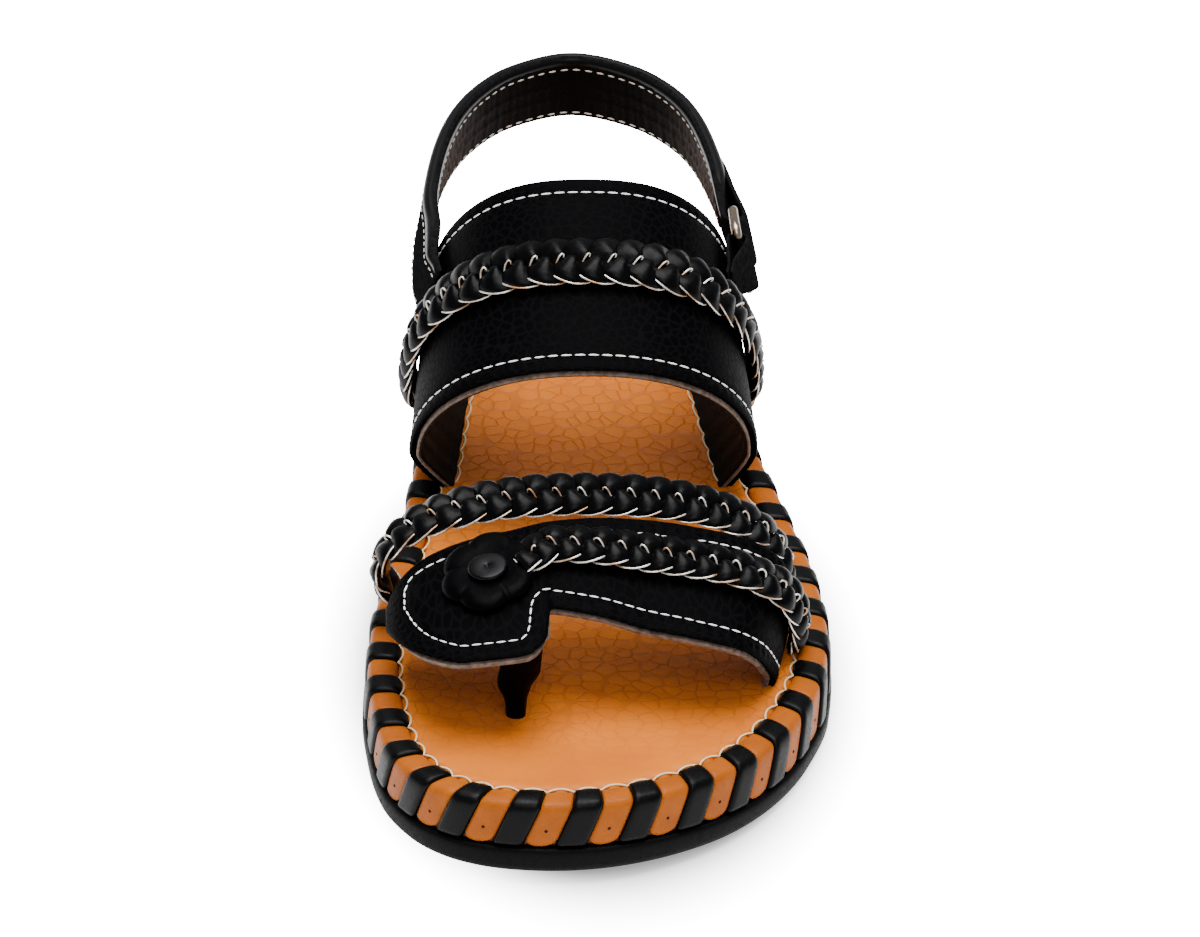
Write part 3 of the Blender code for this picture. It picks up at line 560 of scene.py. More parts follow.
def stamp_group():
    """Reptile stamp: rounded cells with grooves between them, and fine pores all over."""
    tree = bpy.data.node_groups.new("reptile_stamp", "ShaderNodeTree")
    for name, kind in (("Vector", "Vector"), ("Scale", "Float"), ("Wander", "Float"), ("Groove", "Float")):
        tree.interface.new_socket(name, in_out="INPUT", socket_type="NodeSocket" + kind)
    for name in ("Cell", "Height"):
        tree.interface.new_socket(name, in_out="OUTPUT", socket_type="NodeSocketFloat")
    given = tree.nodes.new("NodeGroupInput").outputs
    place, scale = given["Vector"], given["Scale"]
    noise = add_node(tree, "TexNoise", {"Vector": place, "Scale": scale, "Detail": 1.0})["Color"]
    centred = computed(tree, "VectorMath", "SUBTRACT", noise, (0.5, 0.5, 0.5))
    wander = computed(tree, "VectorMath", "SCALE", centred, None, None, given["Wander"])
    inputs = {"Vector": computed(tree, "VectorMath", "ADD", place, wander), "Scale": scale}
    edge, middle = (add_node(tree, "TexVoronoi", inputs, voronoi_dimensions="2D", feature=feature)["Distance"]
                    for feature in ("DISTANCE_TO_EDGE", "F1"))
    edge = spread(tree, edge, 0.0, 1.0, 0.0, given["Groove"], "SMOOTHSTEP")
    middle = spread(tree, middle, 1.0, 0.0, *CELL_ROUND, "SMOOTHSTEP")
    cell = computed(tree, "Math", "MINIMUM", edge, middle)
    fine = value_noise(tree, 1800.0, 2.0, place)
    height = computed(tree, "Math", "MULTIPLY_ADD", fine, 0.12, cell)
    feed(tree, tree.nodes.new("NodeGroupOutput"), {"Cell": cell, "Height": height})
    return tree


reptile_stamp = stamp_group()


def stamped(tree, place, cell_size, wander, groove):
    """The reptile stamp in a material, at the places that a socket gives."""
    inputs = {"Vector": place, "Scale": 1 / cell_size, "Wander": wander, "Groove": groove}
    return add_node(tree, "Group", inputs, node_tree=reptile_stamp)


insole_leather, tree, shader = new_material("insole_leather", srgb(190, 95, 10), 0.45, specular=0.15)
place = coordinates(tree)
sized = computed(tree, "VectorMath", "MULTIPLY", place, (0.85, 0.95, 0.2))
stamp = stamped(tree, sized, 3.7 * MM, 1.2 * MM, 0.085)
depth = spread(tree, add_node(tree, "SeparateXYZ", {"Vector": place})["Y"], 0.10, 1.0, *STAMP_FADE)
groove = computed(tree, "Math", "SUBTRACT", 1.0, stamp["Cell"])
dark = spread(tree, computed(tree, "Math", "MULTIPLY", groove, depth), 0.0, 0.24, 0.0, 1.0)
cloud = spread(tree, value_noise(tree, 45.0, 2.0), 0.0, 1.0)
ground = mixed(tree, cloud, srgb(190, 98, 14), srgb(203, 109, 18))
height = computed(tree, "Math", "MULTIPLY", stamp["Height"], depth)
feed(tree, shader, {
    "Base Color": mixed(tree, dark, ground, srgb(124, 60, 16)), "Normal": bumped(tree, height, 0.20, 0.9)})

work = bmesh.new()
bend_grid(work, *INSOLE_STEPS, insole_place)
piece = add_piece("stamped_insole", work, insole_leather, (0, 0, 0), slot="insole", node="insole")
add_wall(piece, INSOLE_WALL)


# Instep band. One wide piece of black stamped leather over the instep, on a thin grey-brown binding and
# a dark ribbed lining. Its ends go down through slots in the insole, where the cream thread goes on
# along them, and its edges are sewn in white.
ArchRow = namedtuple("ArchRow", "y centre half_width tuck_inner tuck_outer widest top lean square")
BAND_FRONT = ArchRow(-6.3, -2.0, 42.4, 10.0, 7.0, 32, 65.8, 0.5, 2.2)
BAND_BACK = ArchRow(58.1, -1.2, 38.6, 12.6, 12.4, 36, 88.0, 0.5, 2.5)
FOOT_SHARE, SLOT_DEPTH, FOOT_RUN = 0.14, 2.2 * MM, 12 * MM
STITCH_IN, STITCH_PITCH, STITCH_RADIUS, STITCH_SUNK = 4.6 * MM, 3.2 * MM, 0.24 * MM, 0.12 * MM
GROOVE_DEPTH, GROOVE_HALF, EDGE_ROLL, EDGE_RUN = 0.38, 0.75, 0.5, 1.3  # of sewn leather, in mm


def slot_floor(y):
    return bed(y) + RIM_HEIGHT - SLOT_DEPTH


def arch_between(front, back, width_share):
    return ArchRow(*[a + (b - a) * width_share for a, b in zip(front, back)])


def arch_points(front, back, share, width_share):
    """Points of an arched strap from the little-toe foot over the top, between its front and back edges."""
    at = arch_between(front, back, width_share)
    angle = math.pi * np.clip((share - FOOT_SHARE) / (1 - 2 * FOOT_SHARE), 0, 1)
    across = fuller(np.cos(angle), 2 / at.square) * at.half_width
    height = at.widest + (at.top - at.widest) * np.abs(np.sin(angle)) ** (2 / at.square)
    ground = slot_floor(at.y * MM) / MM
    tuck = 1 - np.minimum(np.where(share < 0.5, share, 1 - share) / FOOT_SHARE, 1)
    across = across - np.where(across > 0, at.tuck_outer, -at.tuck_inner) * np.abs(tuck) ** 1.5
    height = height - (at.widest - ground) * tuck
    y = at.y - at.lean * (height - at.widest)
    return np.stack([at.centre + across, y, height], axis=-1) * MM


def band_surface(share, width_share):
    return arch_points(BAND_FRONT, BAND_BACK, share, width_share)


def surface_frame(surface, share, width_share):
    """Points on a strap's outer face, the way across it and the way out of it."""
    nudge = 1.5e-3
    width_share = np.broadcast_to(width_share, np.shape(share))
    here = surface(share, width_share)
    along = surface(share + nudge, width_share) - surface(share - nudge, width_share)
    middle = np.clip(width_share, 0, 1)
    behind, before = np.minimum(middle + nudge, 1), np.maximum(middle - nudge, 0)
    across = unit(surface(share, behind) - surface(share, before))
    out = unit(np.cross(along, -across))
    out[..., 2] *= smooth_step((here[..., 2] - slot_floor(here[..., 1])) / FOOT_RUN)
    return here, across, unit(out)


def even_shares(surface, ends=(0.0, 1.0), width_share=0.5):
    """A reader that takes an even share of the strap's length to the surface's own share, and the length."""
    fine = np.linspace(*ends, 1200)
    line = surface(fine, width_share(fine) if callable(width_share) else np.full(fine.shape, width_share))
    run = run_along(line)
    return (lambda u: np.interp(u * run[-1], run, fine)), run[-1]


def width_of(surface, share):
    return np.linalg.norm(surface(share, np.ones_like(share)) - surface(share, np.zeros_like(share)), axis=1)


def bunched(v):
    """Shares with more of them near both ends, for the rolled and sewn edges."""
    return v - 0.105 * np.sin(math.tau * v)


def sewn_relief(points, along, from_edge):
    """Rise of sewn leather in mm: a groove under the stitches, puckers outside it and a rolled edge."""
    d, s = from_edge / MM, along / STITCH_PITCH
    groove = -GROOVE_DEPTH * bell((d - STITCH_IN / MM) / GROOVE_HALF)
    pucker = 0.13 * np.cos(math.tau * s) * bell((d - 2.9) / 1.3)
    return groove + pucker + 0.12 * bell((d - 2.2) / 1.2) - EDGE_ROLL * np.clip(1 - d / EDGE_RUN, 0, 1) ** 2


def strap_layer(name, surface, steps, margin, depth, wall, material, relief, rounding, inside,
                spine=0.5, end_cut=0.0, **keys):
    """A layer of a strap: margin mm is cut from its edges, end_cut mm from its end, depth mm off its face."""
    shares, length = even_shares(surface, (0.0, 1.0), spine)

    def place(u, v):
        share = shares(u * (1 - end_cut * MM / length))
        width = width_of(surface, share)
        cut = margin * MM / width
        width_share = cut + (1 - 2 * cut) * bunched(v)
        point, _, out = surface_frame(surface, share, width_share)
        rise = np.full(len(u), -depth)
        if relief:
            rise = rise + relief(point, u * length, np.minimum(width_share, 1 - width_share) * width)
        return point + out * (rise * MM)[:, None]

    target = bmesh.new()
    bend_grid(target, *steps, place, (length, UV_ACROSS[surface]))
    made = add_piece(name, target, material, inside, **keys)
    add_wall(made, wall * MM, rounding * MM)


def stitch_row(target, line, out, pitch=STITCH_PITCH, share=0.84):
    """Adds a row of stitches along a line of points: slim ovals laid along it, their ends in the leather."""
    run = run_along(line)
    count = max(1, int(run[-1] / pitch))
    step = run[-1] / count
    for k in range(count):
        start, end = (k + (1 - share) / 2) * step, (k + (1 + share) / 2) * step
        middle = (start + end) / 2
        along = Vector(read_line(run, line, end) - read_line(run, line, start))
        side = Vector(read_line(run, out, middle)).normalized().cross(along).normalized()
        lift = along.cross(side).normalized()
        turn = Matrix((along.normalized(), side, lift)).transposed().to_4x4()
        size = Matrix.Diagonal((along.length / 2, STITCH_RADIUS, STITCH_RADIUS * 0.8, 1.0))
        placed = Matrix.Translation(read_line(run, line, middle)) @ turn @ size
        bmesh.ops.create_uvsphere(target, u_segments=8, v_segments=6, radius=1.0, matrix=placed)


def edge_line(surface, inset, back, ends, rise, count=500):
    """A line on a strap at a distance inside one of its edges, and the ways out of the strap there."""
    shares, _ = even_shares(surface, ends)
    share = shares(np.linspace(0, 1, count))
    at = inset / width_of(surface, share)
    point, _, out = surface_frame(surface, share, 1 - at if back else at)
    return point + out * rise, out


strap_leather, tree, shader = new_material("strap_leather", srgb(1, 1, 2), 0.6, specular=0.014)
cell = stamped(tree, coordinates(tree, "UV"), 2.4 * MM, 0.6 * MM, 0.22)["Cell"]
feed(tree, shader, {
    "Base Color": mixed(tree, cell, srgb(6, 6, 7), srgb(1, 1, 2)),
    "Roughness": spread(tree, cell, 0.66, 0.56, 0.0, 1.0), "Normal": bumped(tree, cell, 0.05, 0.8)})

binding = grained("grey_brown_binding", srgb(104, 90, 80), 0.6, 700.0, bump=(0.15, 0.6),
                  tones=(srgb(78, 66, 57), srgb(120, 105, 94)), specular=0.2)
lining = grained("dark_lining", srgb(12, 10, 9), 0.65, 420.0, bump=(0.2, 0.6), specular=0.08)
white_thread = grained("white_thread", srgb(250, 249, 246), 0.55, 1600.0, bump=(0.12, 0.7), specular=0.3)


def lining_ribs(points, along, from_edge):
    """Ribs pressed into the lining along its length, in mm."""
    return -0.25 * (0.5 + 0.5 * np.cos(math.tau * from_edge / (7 * MM))) * smooth_step(from_edge / (5 * MM))


UNDER_BAND = (0, 0.02, -0.02)
UV_ACROSS = {band_surface: 70 * MM}
strap_layer("band_leather", band_surface, (190, 56), 0.15, 0.0, 1.5, strap_leather, sewn_relief, 0.45,
            UNDER_BAND, slot="instep_band", node="instep_band")
strap_layer("band_binding", band_surface, (170, 10), -0.1, 1.75, 0.75, binding, None, 0.25,
            UNDER_BAND, slot="instep_band")
strap_layer("band_lining", band_surface, (150, 48), 0.35, 2.5, 0.7, lining, lining_ribs, 0.2,
            UNDER_BAND, slot="instep_band")

work = bmesh.new()
for back in (False, True):
    line, out = edge_line(band_surface, STITCH_IN, back, (0.045, 0.955), -STITCH_SUNK)
    stitch_row(work, line, out)
add_piece("band_stitches", work, white_thread, slot="instep_band")

# The rim thread goes on along the inner side of the band's feet.
FOOT_LOOPS, FOOT_THREAD_IN, FOOT_LOOP_REACH = 9, 1.4 * MM, 0.75 * MM
FOOT_THREAD_RISE, FOOT_LOOP_RISE = 0.15 * MM, 0.25 * MM
work = bmesh.new()
for foot_share, side in ((0.0, 1), (1.0, -1)):
    way = np.linspace(0.01, 0.99, 16 * FOOT_LOOPS + 1)
    foot = band_surface(np.full(way.shape, foot_share), way)
    arc = loops(FOOT_LOOPS * np.linspace(0, 1, len(way)))
    across = foot[:, 0] - side * (FOOT_THREAD_IN + FOOT_LOOP_REACH * arc)
    height = bed(foot[:, 1]) + RIM_HEIGHT + FOOT_THREAD_RISE + FOOT_LOOP_RISE * arc
    tube(work, np.column_stack([across, foot[:, 1], height]), THREAD_RADIUS)
add_piece("band_foot_thread", work, cream_thread, slot="insole")


# Braids. Three puffed black leather strands plaited flat, each edged on both sides with fine pale metal
# piping. One braid lies across the band, one along the toe strap, and one is a strap of its own.
BALL_BRAID_FRONT = ArchRow(-63.6, -4.0, 50.4, 11.2, 2.6, 31, 51.8, 0.0, 2.24)
BALL_BRAID_BACK = ArchRow(-52.4, -3.6, 49.6, 11.2, 2.6, 31, 56.0, 0.0, 2.24)
BRAID_THICKNESS, PIPING_RADIUS = 4.4 * MM, 0.23 * MM
TOE_BRAID_AT, TOE_BRAID_FOOT_AT, TOE_BRAID_TURN, TOE_BRAID_CORNER = 0.6, 0.86, 0.30, 0.06
TOE_CROWN = 0.8 * MM
TOE_STRAP = np.array((  # front edge x y z, back edge x y z, from the little-toe foot to the rounded end
    (39.8, -88.4, 16.8, 42.0, -67.5, 16.8), (40.6, -89.4, 20.4, 45.2, -66.8, 22.0),
    (39.2, -92.4, 24.6, 46.0, -66.4, 29.0), (36.4, -96.6, 30.6, 43.6, -66.0, 38.1),
    (29.6, -99.9, 36.7, 36.0, -65.8, 44.4), (20.0, -98.8, 38.6, 23.6, -65.6, 48.0),
    (10.2, -97.2, 39.7, 10.8, -65.6, 50.2), (-1.0, -95.4, 42.4, -1.0, -65.8, 51.0),
    (-11.8, -93.8, 43.6, -12.2, -66.2, 50.3), (-13.4, -103.6, 42.2, -15.4, -66.4, 49.7),
    (-18.6, -109.4, 41.0, -20.6, -66.8, 48.4), (-32.0, -110.2, 39.7, -32.4, -67.6, 45.6),
    (-42.6, -104.2, 37.7, -42.6, -69.4, 41.3), (-48.3, -94.8, 34.9, -48.3, -72.4, 36.2),
    (-50.8, -86.2, 32.0, -50.8, -78.0, 32.5),
))


def ball_braid_surface(share, width_share):
    return arch_points(BALL_BRAID_FRONT, BALL_BRAID_BACK, share, width_share)


def toe_strap_surface(share, width_share):
    """Toe strap: edges run through its table, and the middle of its width is crowned a little."""
    keys = np.linspace(0, 1, len(TOE_STRAP))
    columns = smooth_columns(keys, TOE_STRAP * MM, share)
    front, back = columns[..., :3], columns[..., 3:]
    width_share = np.broadcast_to(width_share, np.shape(share))
    point = front + (back - front) * width_share[..., None]
    crown = TOE_CROWN * 4 * width_share * (1 - width_share)
    point[..., 2] += crown * smooth_step((point[..., 2] - 24 * MM) / (12 * MM))
    return point


def held_at(width_share):
    """A line that keeps to one share of a strap's width."""
    return lambda share: np.full(np.shape(share), width_share)


def toe_braid_at(share):
    """The toe braid's line: near the strap's rear at the foot, along its middle, straight on at the corner."""
    line = TOE_BRAID_FOOT_AT + (TOE_BRAID_AT - TOE_BRAID_FOOT_AT) * smooth_step(share / TOE_BRAID_TURN)
    return line + TOE_BRAID_CORNER * smooth_step((share - 0.56) / 0.09)


BraidRow = namedtuple("BraidRow", "name node surface ends at width pitch change base way")
BRAIDS = (
    BraidRow("instep_plait", "instep_braid", band_surface, (0.05, 0.95), held_at(0.53),
             13.0, 5.8, 0.0, 0.2, 1),
    BraidRow("ball_plait", "ball_braid", ball_braid_surface, (0.0, 1.0), held_at(0.5),
             11.5, 5.9, 0.10, -4.4, -1),
    BraidRow("toe_plait", "toe_braid", toe_strap_surface, (0.035, 0.705), toe_braid_at,
             10.5, 5.4, 0.04, 0.2, -1),
)
LOBE_STEPS = 9
STRAND_SHARE, STRAND_ROLL, STRAND_EARLY = 0.285, 0.22, 0.55
STRAND_LIFT, STRAND_HALF, STRAND_PUFF = 1.0 * MM, 1.1 * MM, 0.2 * MM
PIPING_LOW, PIPING_HIGH, PIPING_REAR = 0.25 * MM, 0.75 * MM, -0.5 * MM

braid_leather = grained("braid_leather", srgb(1, 1, 2), 0.3, 900.0, (0.26, 0.4), (0.08, 0.5), specular=0.07)

piping_metal, tree, shader = new_material("pale_piping", srgb(240, 224, 206), 0.28, 0.7)
# Painted reflection: a noise mottle between a tan and a near-white tone stands for the leather and lamps
# reflected along the wire.
painted_light = spread(tree, value_noise(tree, 220.0, 1.0), 0.0, 1.0, 0.36, 0.56)
feed(tree, shader, {
    "Base Color": mixed(tree, painted_light, srgb(176, 136, 100), srgb(246, 238, 228)),
    "Roughness": spread(tree, value_noise(tree, 800.0), 0.2, 0.36)})

for row in BRAIDS:
    shares, length = even_shares(row.surface, row.ends, row.at)
    lobes = round(length / (row.pitch * MM))
    count = lobes * LOBE_STEPS
    u = np.linspace(0, 1, count + 1)
    share = shares(u)
    base, across, out = surface_frame(row.surface, share, row.at(share))
    half_wide = STRAND_SHARE * row.width * MM
    swing = row.width / 2 * MM - 0.8 * half_wide
    turned = u + row.change * u * (1 - u)
    leather, piping = bmesh.new(), bmesh.new()
    for strand in range(3):
        phase = row.way * math.tau * lobes / 3 * turned + math.tau * strand / 3
        over = np.sin(2 * phase + STRAND_EARLY)
        lift = row.base * MM + BRAID_THICKNESS / 2 + STRAND_LIFT * over
        line = base - across * (swing * np.cos(phase))[:, None] + out * lift[:, None]
        tangent = unit(np.gradient(line, axis=0))
        side = unit(np.cross(out, tangent))
        top = np.cross(tangent, side)
        roll = (STRAND_ROLL * np.cos(phase))[:, None]
        side, top = side * np.cos(roll) - top * np.sin(roll), top * np.cos(roll) + side * np.sin(roll)
        half_thick = STRAND_HALF + STRAND_PUFF * over

        def strand_place(i_share, v, line=line, side=side, top=top, half_thick=half_thick):
            i = np.rint(i_share * count).astype(int)
            turn = v * math.tau
            wide, thick = half_wide * fuller(np.cos(turn), 0.8), half_thick[i] * fuller(np.sin(turn), 0.9)
            shut = np.where((i == 0) | (i == count), 0.3, 1.0)
            return line[i] + side[i] * (wide * shut)[:, None] + top[i] * (thick * shut)[:, None]

        bend_grid(leather, count, 14, strand_place, (length, 12 * MM))
        front_rise = (PIPING_LOW + (PIPING_HIGH - PIPING_LOW) * (1 - np.cos(phase)) / 2)[:, None]
        reach = half_wide - 0.05 * MM
        tube(piping, line + side * reach + top * front_rise, PIPING_RADIUS, up=out)
        tube(piping, line - side * reach + top * PIPING_REAR, PIPING_RADIUS, up=out)
    add_piece(row.name, leather, braid_leather, slot=row.node, node=row.node)
    add_piece(row.name + "_piping", piping, piping_metal, slot=row.node)


# Toe strap. Black stamped leather on a pale grey-brown lining, from a slot by the little toe over the
# toes to a rounded end over the big toe. A row of white stitches runs inside its whole edge.
TOE_STITCH_IN, TOE_STITCH_PITCH = 4.7 * MM, 2.8 * MM
TOE_FOOT_SHARE = 0.36


def toe_strap_top(x, y):
    """Height of the toe strap's outer face above a place near the big toe, where x falls along the strap."""
    shares = np.linspace(5 / (len(TOE_STRAP) - 1), 1, 200)
    front = toe_strap_surface(shares, 0.0)
    share = np.interp(-x, -front[:, 0], shares)
    first, last = toe_strap_surface(share, 0.0), toe_strap_surface(share, 1.0)
    width_share = np.clip((y - first[..., 1]) / (last[..., 1] - first[..., 1]), 0, 1)
    height = first[..., 2] + (last - first)[..., 2] * width_share
    return height + TOE_CROWN * 4 * width_share * (1 - width_share)


toe_end = toe_strap_surface(np.ones(60), np.linspace(0, 1, 60))


def toe_stitch_line():
    """The line inside the strap's edge: up from the foot, round the rounded end and back along the rear."""
    share = np.linspace(TOE_FOOT_SHARE, 1, 900)
    edge = np.concatenate([
        toe_strap_surface(share, 0.0), toe_end[1:-1], toe_strap_surface(share[::-1], 1.0)])[:, :2]
    tangent = unit(np.gradient(edge, axis=0))
    inner = edge + np.stack([tangent[:, 1], -tangent[:, 0]], axis=1) * TOE_STITCH_IN
    gap = np.linalg.norm(inner[:, None] - edge[None], axis=2).min(axis=1)
    inner = inner[gap > TOE_STITCH_IN * 0.985]
    height = toe_strap_top(inner[:, 0], inner[:, 1])
    over = np.column_stack([inner, height])
    shares_up = np.linspace(0.075, TOE_FOOT_SHARE, 120)
    width = width_of(toe_strap_surface, shares_up)
    front = toe_strap_surface(shares_up, TOE_STITCH_IN / width)
    back = toe_strap_surface(shares_up[::-1], 1 - TOE_STITCH_IN / width[::-1])
    return np.concatenate([front[:-2], over, back[2:]])


toe_line = toe_stitch_line()
toe_run = run_along(toe_line)
even = np.linspace(0, toe_run[-1], 800)
toe_line = read_line(toe_run, toe_line, even)
rim_share = np.linspace(0, 1, 500)
toe_rim = np.concatenate([toe_strap_surface(rim_share, 0.0), toe_strap_surface(rim_share, 1.0), toe_end])


def toe_relief(points, along, from_edge):
    """Rise of the toe strap's leather in mm near its stitches and its rounded edge."""

    def rise(part):
        away = np.linalg.norm(part[:, None] - toe_line[None], axis=2)
        rim_away = np.linalg.norm(part[:, None] - toe_rim[None], axis=2).min(axis=1)
        d = away.min(axis=1) / MM
        pucker = 0.16 * np.cos(math.tau * even[away.argmin(axis=1)] / TOE_STITCH_PITCH)
        pucker = pucker * bell((d - 2.0) / 1.2) * (rim_away < TOE_STITCH_IN)
        roll = EDGE_ROLL * np.clip(1 - rim_away / (EDGE_RUN * MM), 0, 1) ** 2
        return pucker - GROOVE_DEPTH * bell(d / GROOVE_HALF) - roll

    return np.concatenate([rise(part) for part in np.array_split(points, 12)])


UNDER_TOES = (0, -0.08, 0.0)
UV_ACROSS[toe_strap_surface] = 30 * MM
strap_layer("toe_strap_leather", toe_strap_surface, (220, 44), 0.1, 0.0, 1.5, strap_leather, toe_relief, 0.45,
            UNDER_TOES, 0.3, 0.1, slot="toe_strap", node="toe_strap")
strap_layer("toe_strap_lining", toe_strap_surface, (200, 16), 0.0, 1.7, 1.2, binding, None, 0.25,
            UNDER_TOES, 0.3, slot="toe_strap")

work = bmesh.new()
toe_out = np.array([0.0, 0.0, 1.0]) + 0 * toe_line
blend = smooth_step((40 * MM - toe_line[:, 2]) / (12 * MM)) * (toe_line[:, 0] > 20 * MM)
toe_out = unit(toe_out * (1 - blend)[:, None] + np.array([1.0, 0.0, 0.15]) * blend[:, None])
stitch_row(work, toe_line - toe_out * STITCH_SUNK, toe_out, TOE_STITCH_PITCH)
add_piece("toe_strap_stitches", work, white_thread, slot="toe_strap")


# Toe post. A folded tab of smooth black leather that comes down from the strap's inner corner, twists
# and narrows, and goes between the first two toes into the insole.
POST = np.array((  # x y z, across, deep
    (-20.3, -96.2, 15.6, 4.6, 6.0), (-20.4, -97.6, 21.0, 5.2, 6.0), (-20.8, -99.3, 26.0, 7.8, 5.6),
    (-19.7, -101.1, 31.0, 9.5, 4.8), (-19.4, -102.9, 36.2, 9.4, 4.2), (-19.2, -103.2, 39.0, 9.4, 4.0),
))

smooth_black = grained("smooth_black_leather", srgb(1, 1, 2), 0.42, 700.0, (0.34, 0.5), (0.1, 0.5),
                       specular=0.022)


def post_place(u, v):
    z = POST[0, 2] + (POST[-1, 2] - POST[0, 2]) * v
    x, y, _, across, deep = smooth_columns(POST[:, 2], POST, z).T
    turn = u * math.tau
    crease = 1 - 0.09 * bell(((turn - 4.5 - 0.9 * v) % math.tau - math.pi) / 0.35)
    wide = across / 2 * crease * fuller(np.cos(turn), 0.75)
    thick = deep / 2 * crease * fuller(np.sin(turn), 0.75)
    return np.stack([x + wide, y + thick, z], axis=1) * MM


work = bmesh.new()
bend_grid(work, 40, 28, post_place, (25 * MM, 23 * MM))
add_piece("folded_post", work, smooth_black, slot="toe_post", node="toe_post")


# Rosette and rivet. A flower cut from puffed black leather covers the end of the toe braid. A round
# gunmetal rivet with a dimple in its middle holds it on the strap.
ROSETTE_AT, ROSETTE_SCALE = np.array((-26.9, -83.2)) * MM, (0.99, 1.22)
ROSETTE_RADIUS, ROSETTE_THICKNESS, ROSETTE_BASE = 10.5 * MM, 2.9 * MM, 0.5 * MM
RIVET_AT = np.array((-26.8, -84.4)) * MM
ROSETTE_SECTION = np.array((  # share of the radius, share of the thickness
    (0.0, 0.80), (0.30, 0.80), (0.48, 0.86), (0.64, 0.97), (0.80, 1.0), (0.90, 0.90), (0.97, 0.70),
    (1.0, 0.45), (0.985, 0.22), (0.94, 0.05), (0.80, 0.0), (0.0, 0.0),
))
RIVET_SECTION = (  # radius and height in mm
    (0.0, 1.15), (0.32, 1.18), (0.55, 1.50), (0.95, 1.60), (4.05, 1.62), (4.45, 1.50), (4.65, 1.20),
    (4.7, 0.8), (4.7, 0.0), (0.0, 0.0),
)


def rosette_place(u, v):
    turn = u * math.tau
    keys = np.arange(len(ROSETTE_SECTION))
    share, height = smooth_columns(keys, ROSETTE_SECTION, v * keys[-1]).T
    lobe = np.abs(np.sin(3 * turn + 0.35 + 0.25 * np.sin(2 * turn)))
    radius = ROSETTE_RADIUS * (0.93 + 0.13 * lobe**0.7)
    height = height * (1 - 0.16 * (1 - lobe) ** 3 * smooth_step((share - 0.55) / 0.4))
    x = ROSETTE_AT[0] + ROSETTE_SCALE[0] * radius * share * np.cos(turn)
    y = ROSETTE_AT[1] + ROSETTE_SCALE[1] * radius * share * np.sin(turn)
    return np.column_stack([x, y, toe_strap_top(x, y) + ROSETTE_BASE + height * ROSETTE_THICKNESS])


work = bmesh.new()
bend_grid(work, 120, 33, rosette_place, (60 * MM, 20 * MM))
add_piece("leather_rosette", work, smooth_black, slot="rosette", node="rosette")

gunmetal = grained("gunmetal", srgb(28, 28, 29), 0.3, 300.0, (0.22, 0.36), metallic=1.0)

work = bmesh.new()
verts = [work.verts.new((r * MM, 0.0, z * MM)) for r, z in RIVET_SECTION]
for a, b in zip(verts, verts[1:]):
    work.edges.new((a, b))
bmesh.ops.spin(work, geom=work.verts[:] + work.edges[:], cent=(0, 0, 0), axis=(0, 0, 1), angle=math.tau,
               steps=48, use_merge=True)
reach = 5 * MM
tops = [float(toe_strap_top(np.array(RIVET_AT[0] + dx), np.array(RIVET_AT[1] + dy)))
        for dx, dy in ((reach, 0), (-reach, 0), (0, reach), (0, -reach))]
slope = Vector((-(tops[0] - tops[1]) / (2 * reach), -(tops[2] - tops[3]) / (2 * reach), 1.0)).normalized()
seat_top = float(toe_strap_top(*RIVET_AT[:, None])[0]) + ROSETTE_BASE + 0.8 * ROSETTE_THICKNESS
seat = Vector((*RIVET_AT, seat_top))
turned = Matrix.Translation(seat) @ slope.to_track_quat("Z", "Y").to_matrix().to_4x4()
bmesh.ops.transform(work, matrix=turned, verts=work.verts)
add_piece("rivet_cap", work, gunmetal, slot="rivet", node="rivet")


# Heel strap. Black leather with rolled edges and a wrinkled grey-brown lining that is pressed into long
# ribs. It is sewn to the band's inner side, goes round the heel and is folded back round the ring.
HeelRow = namedtuple("HeelRow", "x y low high flare slant", defaults=(0.0,))
HEEL_STRAP = [HeelRow(*row) for row in (
    (-39.8, 52.0, 49.0, 66.3, 4.2, 3.0), (-39.9, 61.0, 49.8, 67.2, 3.0), (-38.9, 72.0, 50.8, 68.2, 2.6),
    (-36.1, 88.0, 52.4, 69.8, 2.4), (-30.2, 105.0, 53.7, 71.2, 1.8), (-17.4, 121.8, 54.4, 71.9, 0.8),
    (-1.3, 129.0, 54.5, 72.0, 0.0), (14.8, 121.8, 54.4, 71.9, 0.8), (27.6, 105.0, 53.7, 71.2, 1.8),
    (32.6, 88.0, 52.4, 69.8, 2.4), (35.0, 72.0, 51.4, 68.2, 3.0),
)]
HEEL_STRAP_WALL, FOLD_WALL = 3.6, 1.5
RING_REAR = HeelRow(38.3, 53.5, 52.4, 66.4, 3.2)
RING_FRONT = HeelRow(38.5, 41.5, 52.4, 66.4, 3.2)
RING_WIRE, FOLD_SLACK = 1.25, 0.6
STRAP_BULGE, TAB_BULGE = (1.2, 2.0), (-1.2, 2.0)
FOLDED_END = [HeelRow(*row) for row in (
    (39.9, 59.5, 52.3, 66.8, 3.2), (38.4, 66.0, 52.2, 67.4, 3.1), (37.5, 73.0, 52.2, 67.2, 3.0),
    (36.5, 80.0, 52.4, 66.6, 2.7), (35.4, 86.0, 52.9, 65.6, 2.4),
)]


def sewn_row(side, share, low, high, stand_off, bulge):
    """A row of a strip that lies on one side of the band, stand_off mm out from its outer face."""
    at = arch_between(BAND_FRONT, BAND_BACK, share)
    rise = (np.array([low, high]) - at.widest) / (at.top - at.widest)
    reach = at.half_width * (1 - rise**at.square) ** (1 / at.square)
    x_low, x_high = at.centre + side * (reach + stand_off + np.array(bulge))
    y_low, y_high = (at.y - at.lean * (z - at.widest) for z in (low, high))
    flare, slant = side * (x_low - x_high), y_low - y_high
    return HeelRow((x_low + x_high) / 2, (y_low + y_high) / 2, low, high, flare, slant)


